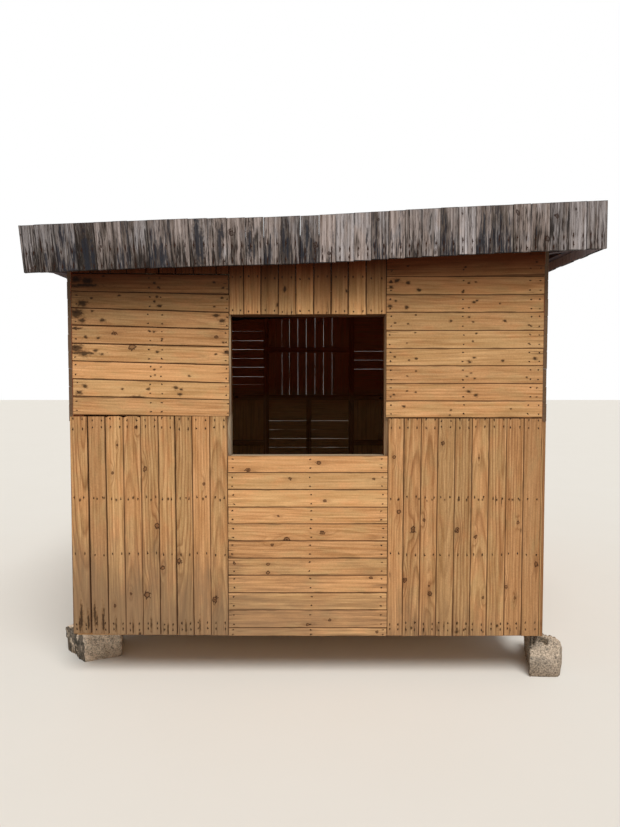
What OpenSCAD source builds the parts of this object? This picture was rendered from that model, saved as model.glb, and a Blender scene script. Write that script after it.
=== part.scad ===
// Street kiosk of pallet boards on a timber frame. It stands on four rough sandcrete blocks and
// has one open serving window, a plank door at the rear of its right side, and a low-pitched
// roof of corrugated sheet behind a deep fascia of upright boards.
// The front faces -Y, the floor it stands on is Z = 0, and the roof falls towards -X.

/* [Body] */
// Width over the wall frames
body_w = 2440; // [2000:10:3000]
// Depth over the front and back boarding
body_d = 3050; // [2600:10:3600]
// Clear width between the two posts beside the window
centre_bay_w = 800; // [600:10:1000]
// Height of the joint between the upper and lower rows of boards, above the wall's lower edge
split_h = 1160; // [1000:5:1250]

/* [Timber] */
// Side of the square framing timbers
stud = 50; // [40:1:60]
// Depth of the floor bearers and joists
joist_h = 100; // [75:5:150]
// Number of floor joists
joist_count = 9; // [7:1:12]
// Thickness of the wall boards
board_t = 20; // [15:1:25]
// Usual width of a board
board_w = 91; // [70:1:120]
// Thickness of the floor boards
deck_t = 22; // [18:1:30]
// Width of the open joint between two panels
panel_gap = 3; // [2:1:6]
// Width of the sunk joint between two boards
joint_w = 4; // [2:1:8]
// Depth of the sunk joint between two boards
joint_d = 3; // [1:1:5]

/* [Window] */
// Height of the sill above the wall's lower edge
sill_h = 957; // [800:1:1050]
// Height of the window head above the wall's lower edge
head_h = 1683; // [1500:1:1750]

/* [Door] */
// Height of the door leaf
door_h = 1800; // [1600:10:1830]
// Gap round the door leaf
door_gap = 5; // [3:1:8]
// Thickness of the ledges on the inside of the leaf
ledge_t = 22; // [18:1:30]
// Length of each hinge strap
strap_l = 320; // [200:10:450]

/* [Roof] */
// Fall of the roof towards the left side, in degrees
roof_pitch = 2.4; // [1:0.1:4]
// Height of the fascia's lower edge at its low end, above the wall's lower edge
eave_h = 1878; // [1850:1:2100]
// Height of the fascia boards
fascia_h = 235; // [180:5:260]
// Height of the roof timbers' underside above the fascia's lower edge
rail_up = 51; // [30:1:60]
// Depth of the roof timbers that carry the sheet
rafter_h = 75; // [50:5:100]
// Overhang at the low left end
overhang_low = 175; // [120:1:260]
// Overhang at the high right end
overhang_high = 227; // [120:1:260]
// Overhang at the front and the back
overhang_front = 149; // [90:1:200]
// How far the low end fascia leans outward at its top
fascia_lean = 24; // [0:1:40]
// Pitch of the roof sheet's corrugations
wave_pitch = 76; // [60:1:100]
// Depth of the roof sheet's corrugations
wave_h = 18; // [12:1:25]
// Thickness of the roof sheet
sheet_t = 0.5; // [0.4:0.1:1]

/* [Base] */
// Height of the blocks under the floor
block_h = 220; // [150:5:300]

/* [Hidden] */

// Faces of the wall frames and of the boarding, measured from the middle of the body
frame_x = body_w / 2;
inner_x = frame_x - stud;
side_x = frame_x + board_t;
wall_y = body_d / 2;
frame_y = wall_y - board_t;
inner_y = frame_y - stud;
post_x = centre_bay_w / 2;
bay_x = post_x + 12;

// Ends of the roof, and the shift that puts the middle of the roof over the origin
low_x = -side_x - overhang_low;
high_x = side_x + overhang_high;
roof_y = wall_y + overhang_front;
roof_in_y = roof_y - board_t;
body_shift = -(low_x + high_x) / 2;

// Levels
wall_z = block_h;
floor_z = wall_z + joist_h;
deck_z = floor_z + deck_t;
split_z = wall_z + split_h;
roof_rise = tan(roof_pitch);
plate_low = rail_up - stud;
sheet_up = rail_up + rafter_h;

lean_angle = atan(fascia_lean / fascia_h);

// Spacing of the side posts, which make four equal bays
side_bay = 2 * frame_y / 4;
SIDE_POSTS = [for (i = [-1 : 1]) i * side_bay];

// Heights of the rails above the wall's lower edge
RAIL_LOW = 425;
RAIL_HIGH = 715;
RAIL_BACK = 655;
RAIL_TOP = 1585;
MID_RAIL = split_h - stud;

// The door closes the rear bay of the right side
door_post_y = side_bay + stud / 2;
door_y0 = door_post_y + door_gap;
door_y1 = inner_y - door_gap;
door_z0 = deck_z;
door_z1 = door_z0 + door_h;

WOOD = "#c79555";
FRAME = "#a9713d";
GREY_WOOD = "#8f857b";
STONE = "#a79f92";
METAL = "#8f98a3";

// Height of the fascia's lower edge at x
function eave_z(x) = wall_z + eave_h + (x - low_x) * roof_rise;

// Outer face of the low end fascia, which leans outward, at a height above the fascia's edge
function lean_x(up) = low_x + fascia_lean * (1 - up / fascia_h);

// Inner face of the same fascia
function lean_in_x(up) = lean_x(up) + board_t / cos(lean_angle);

// Points of one grooved face of n boards over a width w, with the grooves sunk into +Y
function face_points(w, n, y, sunk) = [
    for (i = [0 : n - 1]) each [
        [i * w / n + (i > 0 ? joint_w / 2 : 0), y],
        [(i + 1) * w / n - (i < n - 1 ? joint_w / 2 : 0), y],
        if (i < n - 1) [(i + 1) * w / n, y + sunk]
    ]
];

function reversed(list) = [for (i = [len(list) - 1 : -1 : 0]) list[i]];

module on_body() {
    translate([body_shift, 0, 0]) children();
}

// A bar or a box given by its two corners
module box(low, high) {
    translate(low) cube(high - low);
}

// A solid whose underside and top follow the roof, between two heights above the fascia's edge
module raked(x0, x1, up0, up1, y0, y1) {
    translate([0, y1, 0]) rotate([90, 0, 0]) linear_extrude(y1 - y0)
        polygon([
            [x0, eave_z(x0) + up0], [x1, eave_z(x1) + up0],
            [x1, eave_z(x1) + up1], [x0, eave_z(x0) + up1]
        ]);
}

// A post on the floor, cut to the slope of the plate above it
module post(x0, y0, z0 = deck_z) {
    x1 = x0 + stud;
    translate([0, y0 + stud, 0]) rotate([90, 0, 0]) linear_extrude(stud)
        polygon([[x0, z0], [x1, z0], [x1, eave_z(x1) + plate_low], [x0, eave_z(x0) + plate_low]]);
}

// Upright boards side by side: width along X, thickness along +Y, length along Z
module upright_boards(w, l, n, t = board_t) {
    linear_extrude(l) polygon(concat(
        face_points(w, n, 0, joint_d),
        reversed(face_points(w, n, t, -joint_d))
    ));
}

// Level boards one above the other: length along X, thickness along +Y, width along Z
module level_boards(l, h, n) {
    translate([l, 0, 0]) rotate([0, -90, 0]) upright_boards(h, l, n);
}

// A panel of the front or back wall between x0 and x1, and z0 and z1
module panel(x0, x1, z0, z1, level) {
    w = x1 - x0 - panel_gap;
    h = z1 - z0 - panel_gap;
    translate([x0 + panel_gap / 2, 0, z0])
        if (level) level_boards(w, h, round(h / board_w));
        else upright_boards(w, h, round(w / board_w));
}

// Cuts what stands above the roof timbers' underside
module under_roof() {
    intersection() {
        children();
        raked(low_x, high_x, -2 * eave_h, rail_up, -roof_y, roof_y);
    }
}

// Turns a wall drawn along X with its outer face towards -Y to each of the four sides
module front_side() {
    translate([0, -wall_y, 0]) children();
}

module back_side() {
    translate([0, wall_y, 0]) mirror([0, 1, 0]) children();
}

module left_side() {
    translate([-side_x, 0, 0]) rotate([0, 0, -90]) mirror([1, 0, 0]) children();
}

module right_side() {
    translate([side_x, 0, 0]) rotate([0, 0, 90]) children();
}

// Takes away what lies above a plane through a point, turned about X and then about Z
module knock_off(at, turn) {
    translate(at) rotate(turn) translate([0, 0, block_h / 2])
        cube([2 * block_h, block_h, block_h], center = true);
}

// Rough block with its corners knocked off
module rough_block(outline, chips) {
    color(STONE) difference() {
        linear_extrude(block_h) polygon(outline);
        for (chip = chips) knock_off(chip[0], chip[1]);
    }
}

// Footprints of the blocks under the front corners, and where their corners are knocked off
LEFT_BLOCK = [[-1243, -1364], [-1055, -1279], [-1120, -1040], [-1330, -1010], [-1412, -1205]];
LEFT_CHIPS = [
    [[-1243, -1364, 0.5 * block_h], [61, 0, 7]],
    [[-1412, -1205, 0.36 * block_h], [138, 0, -78]],
];
RIGHT_BLOCK = [[1173, -1522], [1330, -1530], [1380, -1440], [1360, -1180], [1262, -1160]];
RIGHT_CHIPS = [
    [[1250, -1525, 0.47 * block_h], [52, 0, 3]],
    [[1370, -1460, 0.6 * block_h], [55, 0, 62]],
];

module left_block() {
    rough_block(LEFT_BLOCK, LEFT_CHIPS);
}

module right_block() {
    rough_block(RIGHT_BLOCK, RIGHT_CHIPS);
}

module block_front_left() {
    on_body() left_block();
}

module block_front_right() {
    on_body() right_block();
}

module block_back_left() {
    on_body() mirror([0, 1, 0]) left_block();
}

module block_back_right() {
    on_body() mirror([0, 1, 0]) right_block();
}

module floor_bearers() {
    color(FRAME) on_body()
        for (x = [-frame_x, inner_x]) box([x, -frame_y, wall_z], [x + stud, frame_y, floor_z]);
}

module floor_joists() {
    step = (2 * frame_y - stud) / (joist_count - 1);
    color(FRAME) on_body()
        for (i = [0 : joist_count - 1])
            translate([0, -frame_y + i * step, 0])
                box([-inner_x, 0, wall_z], [inner_x, stud, floor_z]);
}

module floor_deck() {
    w = 2 * frame_x;
    color(FRAME) on_body() translate([-frame_x, frame_y, floor_z])
        rotate([90, 0, 0]) upright_boards(w, 2 * frame_y, round(w / board_w), deck_t);
}

module corner_posts() {
    color(FRAME) on_body()
        for (x = [-frame_x, inner_x], y = [-frame_y, inner_y]) post(x, y);
}

// Uprights of the front and back walls: two posts, and short studs in the level-boarded panels
module cross_wall_studs(y, centre_top) {
    middle_x = (post_x + frame_x) / 2;
    for (x = [-post_x - stud, post_x]) post(x, y);
    for (x = [-middle_x - stud / 2, middle_x - stud / 2]) post(x, y, split_z);
    box([-stud / 2, y, deck_z], [stud / 2, y + stud, centre_top]);
}

module front_studs() {
    color(FRAME) on_body() cross_wall_studs(-frame_y, wall_z + sill_h - stud);
}

module back_studs() {
    color(FRAME) on_body() cross_wall_studs(inner_y, wall_z + MID_RAIL);
}

// Uprights of a side wall: three posts, and a stud where the boards of a bay lie level
module side_wall_studs(x, bays) {
    for (y = SIDE_POSTS) post(x, y - stud / 2);
    for (bay = bays) {
        y = -frame_y + (bay + 0.5) * side_bay - stud / 2;
        if (bay == 0 || bay == 3) post(x, y, split_z);
        else box([x, y, deck_z], [x + stud, y + stud, wall_z + MID_RAIL]);
    }
}

module left_studs() {
    color(FRAME) on_body() side_wall_studs(-frame_x, [0 : 3]);
}

module right_studs() {
    color(FRAME) on_body() side_wall_studs(inner_x, [0 : 2]);
}

// A rail between two uprights of the front or back wall
module cross_rail(x0, x1, y, h) {
    box([x0, y, wall_z + h], [x1, y + stud, wall_z + h + stud]);
}

module front_rails() {
    color(FRAME) on_body()
        for (h = [RAIL_LOW, RAIL_HIGH, MID_RAIL]) {
            cross_rail(-inner_x, -post_x - stud, -frame_y, h);
            cross_rail(post_x + stud, inner_x, -frame_y, h);
        }
}

module back_rails() {
    color(FRAME) on_body() {
        for (h = [RAIL_BACK, MID_RAIL]) {
            cross_rail(-inner_x, -post_x - stud, inner_y, h);
            cross_rail(post_x + stud, inner_x, inner_y, h);
        }
        for (h = [MID_RAIL, RAIL_TOP]) cross_rail(-post_x, post_x, inner_y, h);
    }
}

// Rails of a side wall: the middle rail in each bay, and one more behind the upright boards
module side_wall_rails(x, bays) {
    for (bay = bays) {
        y0 = -frame_y + bay * side_bay + (bay == 0 ? stud : stud / 2);
        y1 = -frame_y + (bay + 1) * side_bay - (bay == 3 ? stud : stud / 2);
        extra = bay == 0 || bay == 3 ? RAIL_BACK : RAIL_TOP;
        for (h = [MID_RAIL, extra]) box([x, y0, wall_z + h], [x + stud, y1, wall_z + h + stud]);
    }
}

module left_rails() {
    color(FRAME) on_body() side_wall_rails(-frame_x, [0 : 3]);
}

module right_rails() {
    head_z = door_z1 + door_gap;
    color(FRAME) on_body() {
        side_wall_rails(inner_x, [0 : 2]);
        box([inner_x, door_post_y, head_z], [frame_x, inner_y, head_z + stud]);
    }
}

module window_sill() {
    color(FRAME) on_body() cross_rail(-post_x, post_x, -frame_y, sill_h - stud);
}

module window_head() {
    color(FRAME) on_body() cross_rail(-post_x, post_x, -frame_y, head_h);
}

// Depth of a plate's tail at the wall's outer face, and at its end
TAIL_H = 34;
TAIL_END_H = 14;

// Sloping plate over a cross wall, with its two tails cut to a taper under the overhangs
module cross_plate(y) {
    tail_up = rail_up - TAIL_H;
    end_up = rail_up - TAIL_END_H;
    x0 = lean_in_x(rail_up);
    x1 = high_x - board_t;
    translate([0, y + stud, 0]) rotate([90, 0, 0]) linear_extrude(stud)
        polygon([
            [x0, eave_z(x0) + end_up], [-side_x, eave_z(-side_x) + tail_up],
            [-side_x, eave_z(-side_x) + plate_low], [side_x, eave_z(side_x) + plate_low],
            [side_x, eave_z(side_x) + tail_up], [x1, eave_z(x1) + end_up],
            [x1, eave_z(x1) + rail_up], [x0, eave_z(x0) + rail_up]
        ]);
}

module front_plate() {
    color(FRAME) on_body() cross_plate(-frame_y);
}

module back_plate() {
    color(FRAME) on_body() cross_plate(inner_y);
}

module left_plate() {
    color(FRAME) on_body() raked(-frame_x, -inner_x, plate_low, rail_up, -inner_y, inner_y);
}

module right_plate() {
    color(FRAME) on_body() raked(inner_x, frame_x, plate_low, rail_up, -inner_y, inner_y);
}

// Height to which the wall panels are drawn before the roof cuts them
top_z = wall_z + eave_h + 3 * board_w;

module cross_wall_upper(centre_low) {
    panel(-frame_x, -bay_x, split_z, top_z, true);
    panel(-bay_x, bay_x, centre_low, top_z, false);
    panel(bay_x, frame_x, split_z, top_z, true);
}

module cross_wall_lower(centre_top) {
    panel(-frame_x, -bay_x, wall_z, split_z, false);
    panel(-bay_x, bay_x, wall_z, centre_top, true);
    panel(bay_x, frame_x, wall_z, split_z, false);
}

module front_upper_boards() {
    color(WOOD) on_body() under_roof() front_side() cross_wall_upper(wall_z + head_h);
}

module front_lower_boards() {
    color(WOOD) on_body() front_side() cross_wall_lower(wall_z + sill_h);
}

module back_upper_boards() {
    color(WOOD) on_body() under_roof() back_side() cross_wall_upper(split_z);
}

module back_lower_boards() {
    color(WOOD) on_body() back_side() cross_wall_lower(split_z);
}

// Ends of a side bay's panel, which run out to the face of the front and back boarding
function bay_start(bay) = bay == 0 ? -wall_y : -frame_y + bay * side_bay;
function bay_end(bay) = bay == 3 ? wall_y : -frame_y + (bay + 1) * side_bay;

module side_wall_upper(bays) {
    for (bay = bays) panel(bay_start(bay), bay_end(bay), split_z, top_z, bay == 0 || bay == 3);
}

module side_wall_lower(bays) {
    for (bay = bays) panel(bay_start(bay), bay_end(bay), wall_z, split_z, bay == 1 || bay == 2);
}

module left_upper_boards() {
    color(WOOD) on_body() under_roof() left_side() side_wall_upper([0 : 3]);
}

module left_lower_boards() {
    color(WOOD) on_body() left_side() side_wall_lower([0 : 3]);
}

// The right side's third bay runs to the door post, and one upright board covers the rear corner
module right_upper_boards() {
    color(WOOD) on_body() under_roof() right_side() {
        side_wall_upper([0 : 1]);
        panel(bay_start(2), door_post_y, split_z, top_z, false);
        panel(inner_y, wall_y, split_z, top_z, false);
        panel(door_post_y, inner_y, door_z1 + door_gap, top_z, true);
    }
}

module right_lower_boards() {
    color(WOOD) on_body() right_side() {
        side_wall_lower([0 : 1]);
        panel(bay_start(2), door_post_y, wall_z, split_z, true);
        panel(inner_y, wall_y, wall_z, split_z, false);
        panel(door_post_y, inner_y, wall_z, door_z0, true);
    }
}

module door_leaf() {
    w = door_y1 - door_y0;
    color(WOOD) on_body() right_side()
        translate([door_y0, 0, door_z0 + door_gap])
            upright_boards(w, door_h - door_gap, round(w / board_w));
}

// Heights of the ledges' middles above the floor, which the hinges share
LEDGES = [220, 900, 1580];
LEDGE_H = 100;
LEDGE_IN = 15;

module door_ledges() {
    color(FRAME) on_body()
        for (h = LEDGES)
            box(
                [frame_x - ledge_t, door_y0 + LEDGE_IN, door_z0 + h - LEDGE_H / 2],
                [frame_x, door_y1 - LEDGE_IN, door_z0 + h + LEDGE_H / 2]
            );
}

// Strap hinge: tapered strap on the leaf, knuckle over the gap, and a plate on the corner board
STRAP_H = 34;
STRAP_T = 3;
PLATE_W = 34;
PLATE_H = 110;
KNUCKLE_R = 6;

module strap_hinge() {
    rotate([90, 0, 90]) linear_extrude(STRAP_T)
        polygon([
            [0, -STRAP_H / 2], [0, STRAP_H / 2],
            [-strap_l + 8, STRAP_H / 4], [-strap_l, 0], [-strap_l + 8, -STRAP_H / 4]
        ]);
    translate([0, 0, -PLATE_H / 2]) cube([STRAP_T, PLATE_W, PLATE_H]);
    translate([KNUCKLE_R, 0, -PLATE_H / 2]) cylinder(h = PLATE_H, r = KNUCKLE_R, $fn = 24);
}

module door_hinges() {
    color(METAL) on_body()
        for (h = [LEDGES[0], LEDGES[2]])
            translate([side_x, door_y1 + door_gap / 2, door_z0 + h]) strap_hinge();
}

// Hasp: a hinged strap over the free edge of the leaf, held by a staple on the post's board
HASP_L = 150;
HASP_H = 36;
HASP_T = 3;
STAPLE_W = 22;
STAPLE_UP = 18;
STAPLE_T = 5;

module door_hasp() {
    color(METAL) on_body()
        translate([side_x, door_y0 - HASP_L / 3, door_z0 + LEDGES[1]]) {
            translate([0, 0, -HASP_H / 2]) cube([HASP_T, HASP_L, HASP_H]);
            translate([HASP_T, HASP_H / 2, STAPLE_T / 2]) rotate([180, 0, 0]) linear_extrude(STAPLE_T)
                difference() {
                    translate([0, -STAPLE_W / 2]) square([STAPLE_UP, STAPLE_W]);
                    translate([-1, STAPLE_T - STAPLE_W / 2])
                        square([STAPLE_UP - STAPLE_T + 1, STAPLE_W - 2 * STAPLE_T]);
                }
        }
}

module roof_beam() {
    color(FRAME) on_body()
        raked(-inner_x, inner_x, rail_up - joist_h, rail_up, -stud / 2, stud / 2);
}

module roof_purlins() {
    end_y = roof_in_y - stud;
    color(FRAME) on_body()
        for (x = [-frame_x, -post_x - stud, post_x, inner_x])
            raked(x, x + stud, rail_up, sheet_up, -end_y, end_y);
}

// Rails behind the front and back fascias, between the two verge rails
module eave_rail(y) {
    x0 = lean_in_x(rail_up) + stud;
    x1 = lean_in_x(sheet_up) + stud;
    x2 = high_x - board_t - stud;
    translate([0, y + stud, 0]) rotate([90, 0, 0]) linear_extrude(stud)
        polygon([
            [x0, eave_z(x0) + rail_up], [x2, eave_z(x2) + rail_up],
            [x2, eave_z(x2) + sheet_up], [x1, eave_z(x1) + sheet_up]
        ]);
}

module eave_rails() {
    color(GREY_WOOD) on_body()
        for (y = [-roof_in_y, roof_in_y - stud]) eave_rail(y);
}

// Rails behind the left and right fascias; the left one is cut to the lean of its boards
module verge_rails() {
    x0 = lean_in_x(rail_up);
    x1 = lean_in_x(sheet_up);
    x2 = high_x - board_t;
    color(GREY_WOOD) on_body() {
        translate([0, roof_in_y, 0]) rotate([90, 0, 0]) linear_extrude(2 * roof_in_y)
            polygon([
                [x0, eave_z(x0) + rail_up], [x0 + stud, eave_z(x0 + stud) + rail_up],
                [x1 + stud, eave_z(x1 + stud) + sheet_up], [x1, eave_z(x1) + sheet_up]
            ]);
        raked(x2 - stud, x2, rail_up, sheet_up, -roof_in_y, roof_in_y);
    }
}

// Corrugated sheet on the purlins and rails, with its waves running down the slope
WAVE_STEPS = 10;
EDGE_GAP = 4;

function wave_points(count, lift) = [
    for (i = [0 : count * WAVE_STEPS])
        [i * wave_pitch / WAVE_STEPS, lift + wave_h / 2 * (1 - cos(360 * i / WAVE_STEPS))]
];

module roof_sheet() {
    count = floor(2 * (roof_in_y - EDGE_GAP) / wave_pitch);
    x0 = lean_in_x(sheet_up) + EDGE_GAP;
    x1 = high_x - board_t - EDGE_GAP;
    color(METAL) on_body()
        translate([x0, -count * wave_pitch / 2, eave_z(x0) + sheet_up]) rotate([0, -roof_pitch, 0])
            rotate([90, 0, 90]) linear_extrude((x1 - x0) / cos(roof_pitch))
                polygon(concat(wave_points(count, 0), reversed(wave_points(count, sheet_t))));
}

// Usual width of a fascia board
FASCIA_W = 87;

module cross_fascia() {
    x0 = lean_x(0);
    w = high_x - low_x;
    intersection() {
        translate([low_x, -roof_y, wall_z + eave_h - stud])
            upright_boards(w, 2 * fascia_h, round(w / FASCIA_W));
        translate([0, -roof_in_y, 0]) rotate([90, 0, 0]) linear_extrude(board_t)
            polygon([
                [x0, eave_z(x0)], [high_x, eave_z(high_x)],
                [high_x, eave_z(high_x) + fascia_h], [low_x, eave_z(low_x) + fascia_h]
            ]);
    }
}

module front_fascia() {
    color(GREY_WOOD) on_body() cross_fascia();
}

module back_fascia() {
    color(GREY_WOOD) on_body() mirror([0, 1, 0]) cross_fascia();
}

module left_fascia() {
    w = 2 * roof_in_y;
    color(GREY_WOOD) on_body()
        translate([lean_x(rail_up), roof_in_y, eave_z(low_x) + rail_up])
            rotate([0, -lean_angle, 0]) rotate([0, 0, -90])
                upright_boards(w, (fascia_h - rail_up) / cos(lean_angle), round(w / FASCIA_W));
}

module right_fascia() {
    w = 2 * roof_in_y;
    color(GREY_WOOD) on_body()
        translate([high_x, -roof_in_y, eave_z(high_x)])
            rotate([0, 0, 90]) upright_boards(w, fascia_h, round(w / FASCIA_W));
}

block_front_left();
block_front_right();
block_back_left();
block_back_right();
floor_bearers();
floor_joists();
floor_deck();
corner_posts();
front_studs();
back_studs();
left_studs();
right_studs();
front_rails();
back_rails();
left_rails();
right_rails();
window_sill();
window_head();
front_plate();
back_plate();
left_plate();
right_plate();
front_upper_boards();
front_lower_boards();
back_upper_boards();
back_lower_boards();
left_upper_boards();
left_lower_boards();
right_upper_boards();
right_lower_boards();
door_leaf();
door_ledges();
door_hinges();
door_hasp();
roof_beam();
roof_purlins();
roof_sheet();
eave_rails();
verge_rails();
front_fascia();
back_fascia();
left_fascia();
right_fascia();
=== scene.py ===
"""Dresses the framed street kiosk: separate pallet boards with their nails, a fascia of grey
boards, overlapping roof sheets, rough blocks and the finishes of the timbers that stay bare."""

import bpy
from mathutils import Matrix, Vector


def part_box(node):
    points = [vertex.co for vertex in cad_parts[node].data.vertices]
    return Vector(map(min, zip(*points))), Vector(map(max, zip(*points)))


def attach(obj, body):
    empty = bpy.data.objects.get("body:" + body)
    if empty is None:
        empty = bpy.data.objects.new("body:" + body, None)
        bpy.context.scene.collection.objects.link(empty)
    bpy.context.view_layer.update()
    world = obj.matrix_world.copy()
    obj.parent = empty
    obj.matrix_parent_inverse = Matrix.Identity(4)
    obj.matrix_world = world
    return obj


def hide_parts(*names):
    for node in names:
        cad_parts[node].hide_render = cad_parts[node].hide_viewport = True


bl_info = {
    "name": "Street Kiosk",
    "version": (1, 0, 0),
    "blender": (4, 5, 0),
    "location": "3D View > Sidebar > Kiosk",
    "description": "Boards, nails, roof sheets, blocks and finishes of a small timber street kiosk",
    "category": "Object",
}

import math
import random
from types import SimpleNamespace

import bmesh
import bpy
from mathutils import Euler, Matrix, Vector, noise

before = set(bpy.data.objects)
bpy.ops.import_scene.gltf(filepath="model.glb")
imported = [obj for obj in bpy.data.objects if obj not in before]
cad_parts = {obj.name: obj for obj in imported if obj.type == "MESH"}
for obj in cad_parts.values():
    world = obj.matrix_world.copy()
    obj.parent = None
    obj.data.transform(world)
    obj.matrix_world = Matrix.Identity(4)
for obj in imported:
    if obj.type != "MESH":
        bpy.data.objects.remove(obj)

UP = Vector((0, 0, 1))
NEVER = 99.0


def near(node):
    return Vector(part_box(node)[0])


def far(node):
    return Vector(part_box(node)[1])


# Planes and levels of the frame, in metres
WALL_Y = far("back_lower_boards").y
SIDE_LEFT = near("left_lower_boards").x
SIDE_RIGHT = far("right_lower_boards").x
MIDDLE_X = (SIDE_LEFT + SIDE_RIGHT) / 2
HALF_FRAME = (far("floor_deck").x - near("floor_deck").x) / 2
FRAME_Y = far("floor_deck").y
POST_X = near("window_sill").x - MIDDLE_X
BAY_X = -POST_X + 0.012
BAY_TOP = -POST_X + 0.005
BAY_LOW = -POST_X + 0.018
WALL_Z = near("floor_bearers").z
DECK_Z = far("floor_deck").z
SIDE_SPLIT = far("front_rails").z - 0.022
SILL_Z = far("window_sill").z
HEAD_Z = near("window_head").z
ROOF_LEFT = near("front_fascia").x
ROOF_RIGHT = far("front_fascia").x
ROOF_Y = far("back_fascia").y
RAKE = math.tan(math.radians(2.4))
FASCIA_H = far("right_fascia").z - near("right_fascia").z
LEAN = 0.024
EAVE_LOW = near("front_fascia").z - RAKE * LEAN
RAIL_UP = 0.051
DOOR_TOP = far("door_leaf").z
DOOR_POSTS = near("door_leaf").y - 0.005, far("door_leaf").y + 0.005
CORNER = 0.0195

# Usual widths of the boards, and how far their nails stand from the middle, as a share of the width
BOARD = 0.0905
FASCIA_BOARD = 0.088
NAIL_SIDE = 0.27
MM = 1000


def eave_z(x):
    """Height of the fascia's lower edge at x."""
    return EAVE_LOW + (x - ROOF_LEFT) * RAKE


def sag(x):
    """How far the front fascia hangs through at x."""
    return 0.011 * math.exp(-((x - MIDDLE_X) / 0.5) ** 2)


def linear(code):
    """Linear colour of a hexadecimal display colour."""
    parts = [int(code[i:i + 2], 16) / 255 for i in (0, 2, 4)]
    return tuple(c / 12.92 if c <= 0.04045 else ((c + 0.055) / 1.055) ** 2.4 for c in parts)


# ---------------------------------------------------------------- node trees

class Value:
    """One output of a node. A sum or product of values adds the node that works it out."""

    def __init__(self, graph, socket):
        self.graph = graph
        self.socket = socket

    def __rsub__(self, other):
        return self.graph.math("SUBTRACT", other, self)

    def __abs__(self):
        return self.graph.math("ABSOLUTE", self)

    def fract(self):
        return self.graph.math("FRACT", self)

    def between(self, low, high, to_low=0.0, to_high=1.0, smooth=True):
        kind = "SMOOTHSTEP" if smooth else "LINEAR"
        inputs = {"Value": self, "From Min": low, "From Max": high, "To Min": to_low, "To Max": to_high}
        return self.graph.put("ShaderNodeMapRange", inputs, interpolation_type=kind, clamp=True)

    def split(self):
        return self.graph.node("ShaderNodeSeparateXYZ", (self,))


for word, operation in {"add": "ADD", "sub": "SUBTRACT", "mul": "MULTIPLY", "truediv": "DIVIDE",
                        "pow": "POWER", "lt": "LESS_THAN", "gt": "GREATER_THAN"}.items():
    setattr(Value, "__" + word + "__", lambda a, b, kind=operation: a.graph.math(kind, a, b))


def fold(operation, first, *rest):
    for value in rest:
        first = first.graph.math(operation, first, value)
    return first


def most(*values):
    return fold("MAXIMUM", *values)


def least(*values):
    return fold("MINIMUM", *values)


def hypot(a, b):
    return a.graph.math("SQRT", a * a + b * b)


class Graph:
    """Builds a node tree. Each call adds one node and gives back one of its outputs, or all."""

    def __init__(self, tree):
        self.tree = tree

    def node(self, kind, inputs=(), **settings):
        node = self.tree.nodes.new(kind)
        for name, value in settings.items():
            setattr(node, name, value)
        for key, value in inputs.items() if isinstance(inputs, dict) else enumerate(inputs):
            if isinstance(value, Value):
                self.tree.links.new(value.socket, node.inputs[key])
            else:
                node.inputs[key].default_value = value
        return [Value(self, socket) for socket in node.outputs]

    def put(self, kind, inputs=(), out=0, **settings):
        return self.node(kind, inputs, **settings)[out]

    def math(self, operation, *values):
        return self.put("ShaderNodeMath", values, operation=operation)

    def combine(self, operation, a, b):
        return self.put("ShaderNodeVectorMath", (a, b), operation=operation)

    def vector(self, x, y, z=0.0):
        return self.put("ShaderNodeCombineXYZ", (x, y, z))

    def noise(self, place, scale=1.0, detail=2.0, rough=0.5):
        vector = self.vector(*place) if isinstance(place, tuple) else place
        inputs = {"Vector": vector, "Scale": scale, "Detail": detail, "Roughness": rough}
        return self.put("ShaderNodeTexNoise", inputs)

    def cells(self, place, scale, out=0):
        return self.put("ShaderNodeTexVoronoi", {"Vector": place, "Scale": scale}, out)

    def mix(self, amount, a, b, blend="MIX"):
        a, b = (c if isinstance(c, Value) else (*c[:3], 1) for c in (a, b))
        return self.put("ShaderNodeMix", {0: amount, 6: a, 7: b}, 2, data_type="RGBA", blend_type=blend)

    def tint(self, amount, colour, by):
        return self.mix(amount, colour, by, "MULTIPLY")

    def coats(self, colour, *coats):
        """Lays coats over a colour one by one, each given as its amount and its own colour."""
        for amount, coat in coats:
            colour = self.mix(amount, colour, coat)
        return colour

    def attribute(self, name):
        return self.put("ShaderNodeAttribute", (), 1, attribute_name=name).split()

    def place(self):
        return self.put("ShaderNodeTexCoord", (), 3)


# ---------------------------------------------------------------- finishes

def new_finish(name):
    material = bpy.data.materials.new(name)
    material.use_nodes = True
    material.node_tree.nodes.clear()
    return Graph(material.node_tree)


def end_finish(g, name, colour, roughness, height, relief=0.002, strength=0.5, metallic=0.0):
    """Ends a finish in one shader with its bump."""
    bump = g.put("ShaderNodeBump", {"Strength": strength, "Distance": relief, "Height": height})
    surface = g.put("ShaderNodeBsdfPrincipled", {
        "Base Color": colour, "Roughness": roughness, "Metallic": metallic, "Normal": bump,
        "Specular IOR Level": 0.15,
    })
    g.node("ShaderNodeOutputMaterial", {"Surface": surface})
    return bpy.data.materials[name]


def part_of(seed, factor):
    """A number from 0 to 1 that is different for each board."""
    return (seed * factor).fract()


def nearest_spot(g, u, v, names, stretch, streaky=None):
    """Distance to the nearest of a board's knots or stains, counted in its own sizes. A spot whose
    size is below zero is a streak."""
    gaps = []
    for name in names:
        at_u, at_v, size = g.attribute(name)
        wide = abs(size)
        long = wide * (size.between(-0.0001, 0.0001, streaky, stretch, False) if streaky else stretch)
        gaps.append(hypot((u - at_u) / long, (v - at_v) / wide))
    return least(*gaps)


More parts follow.
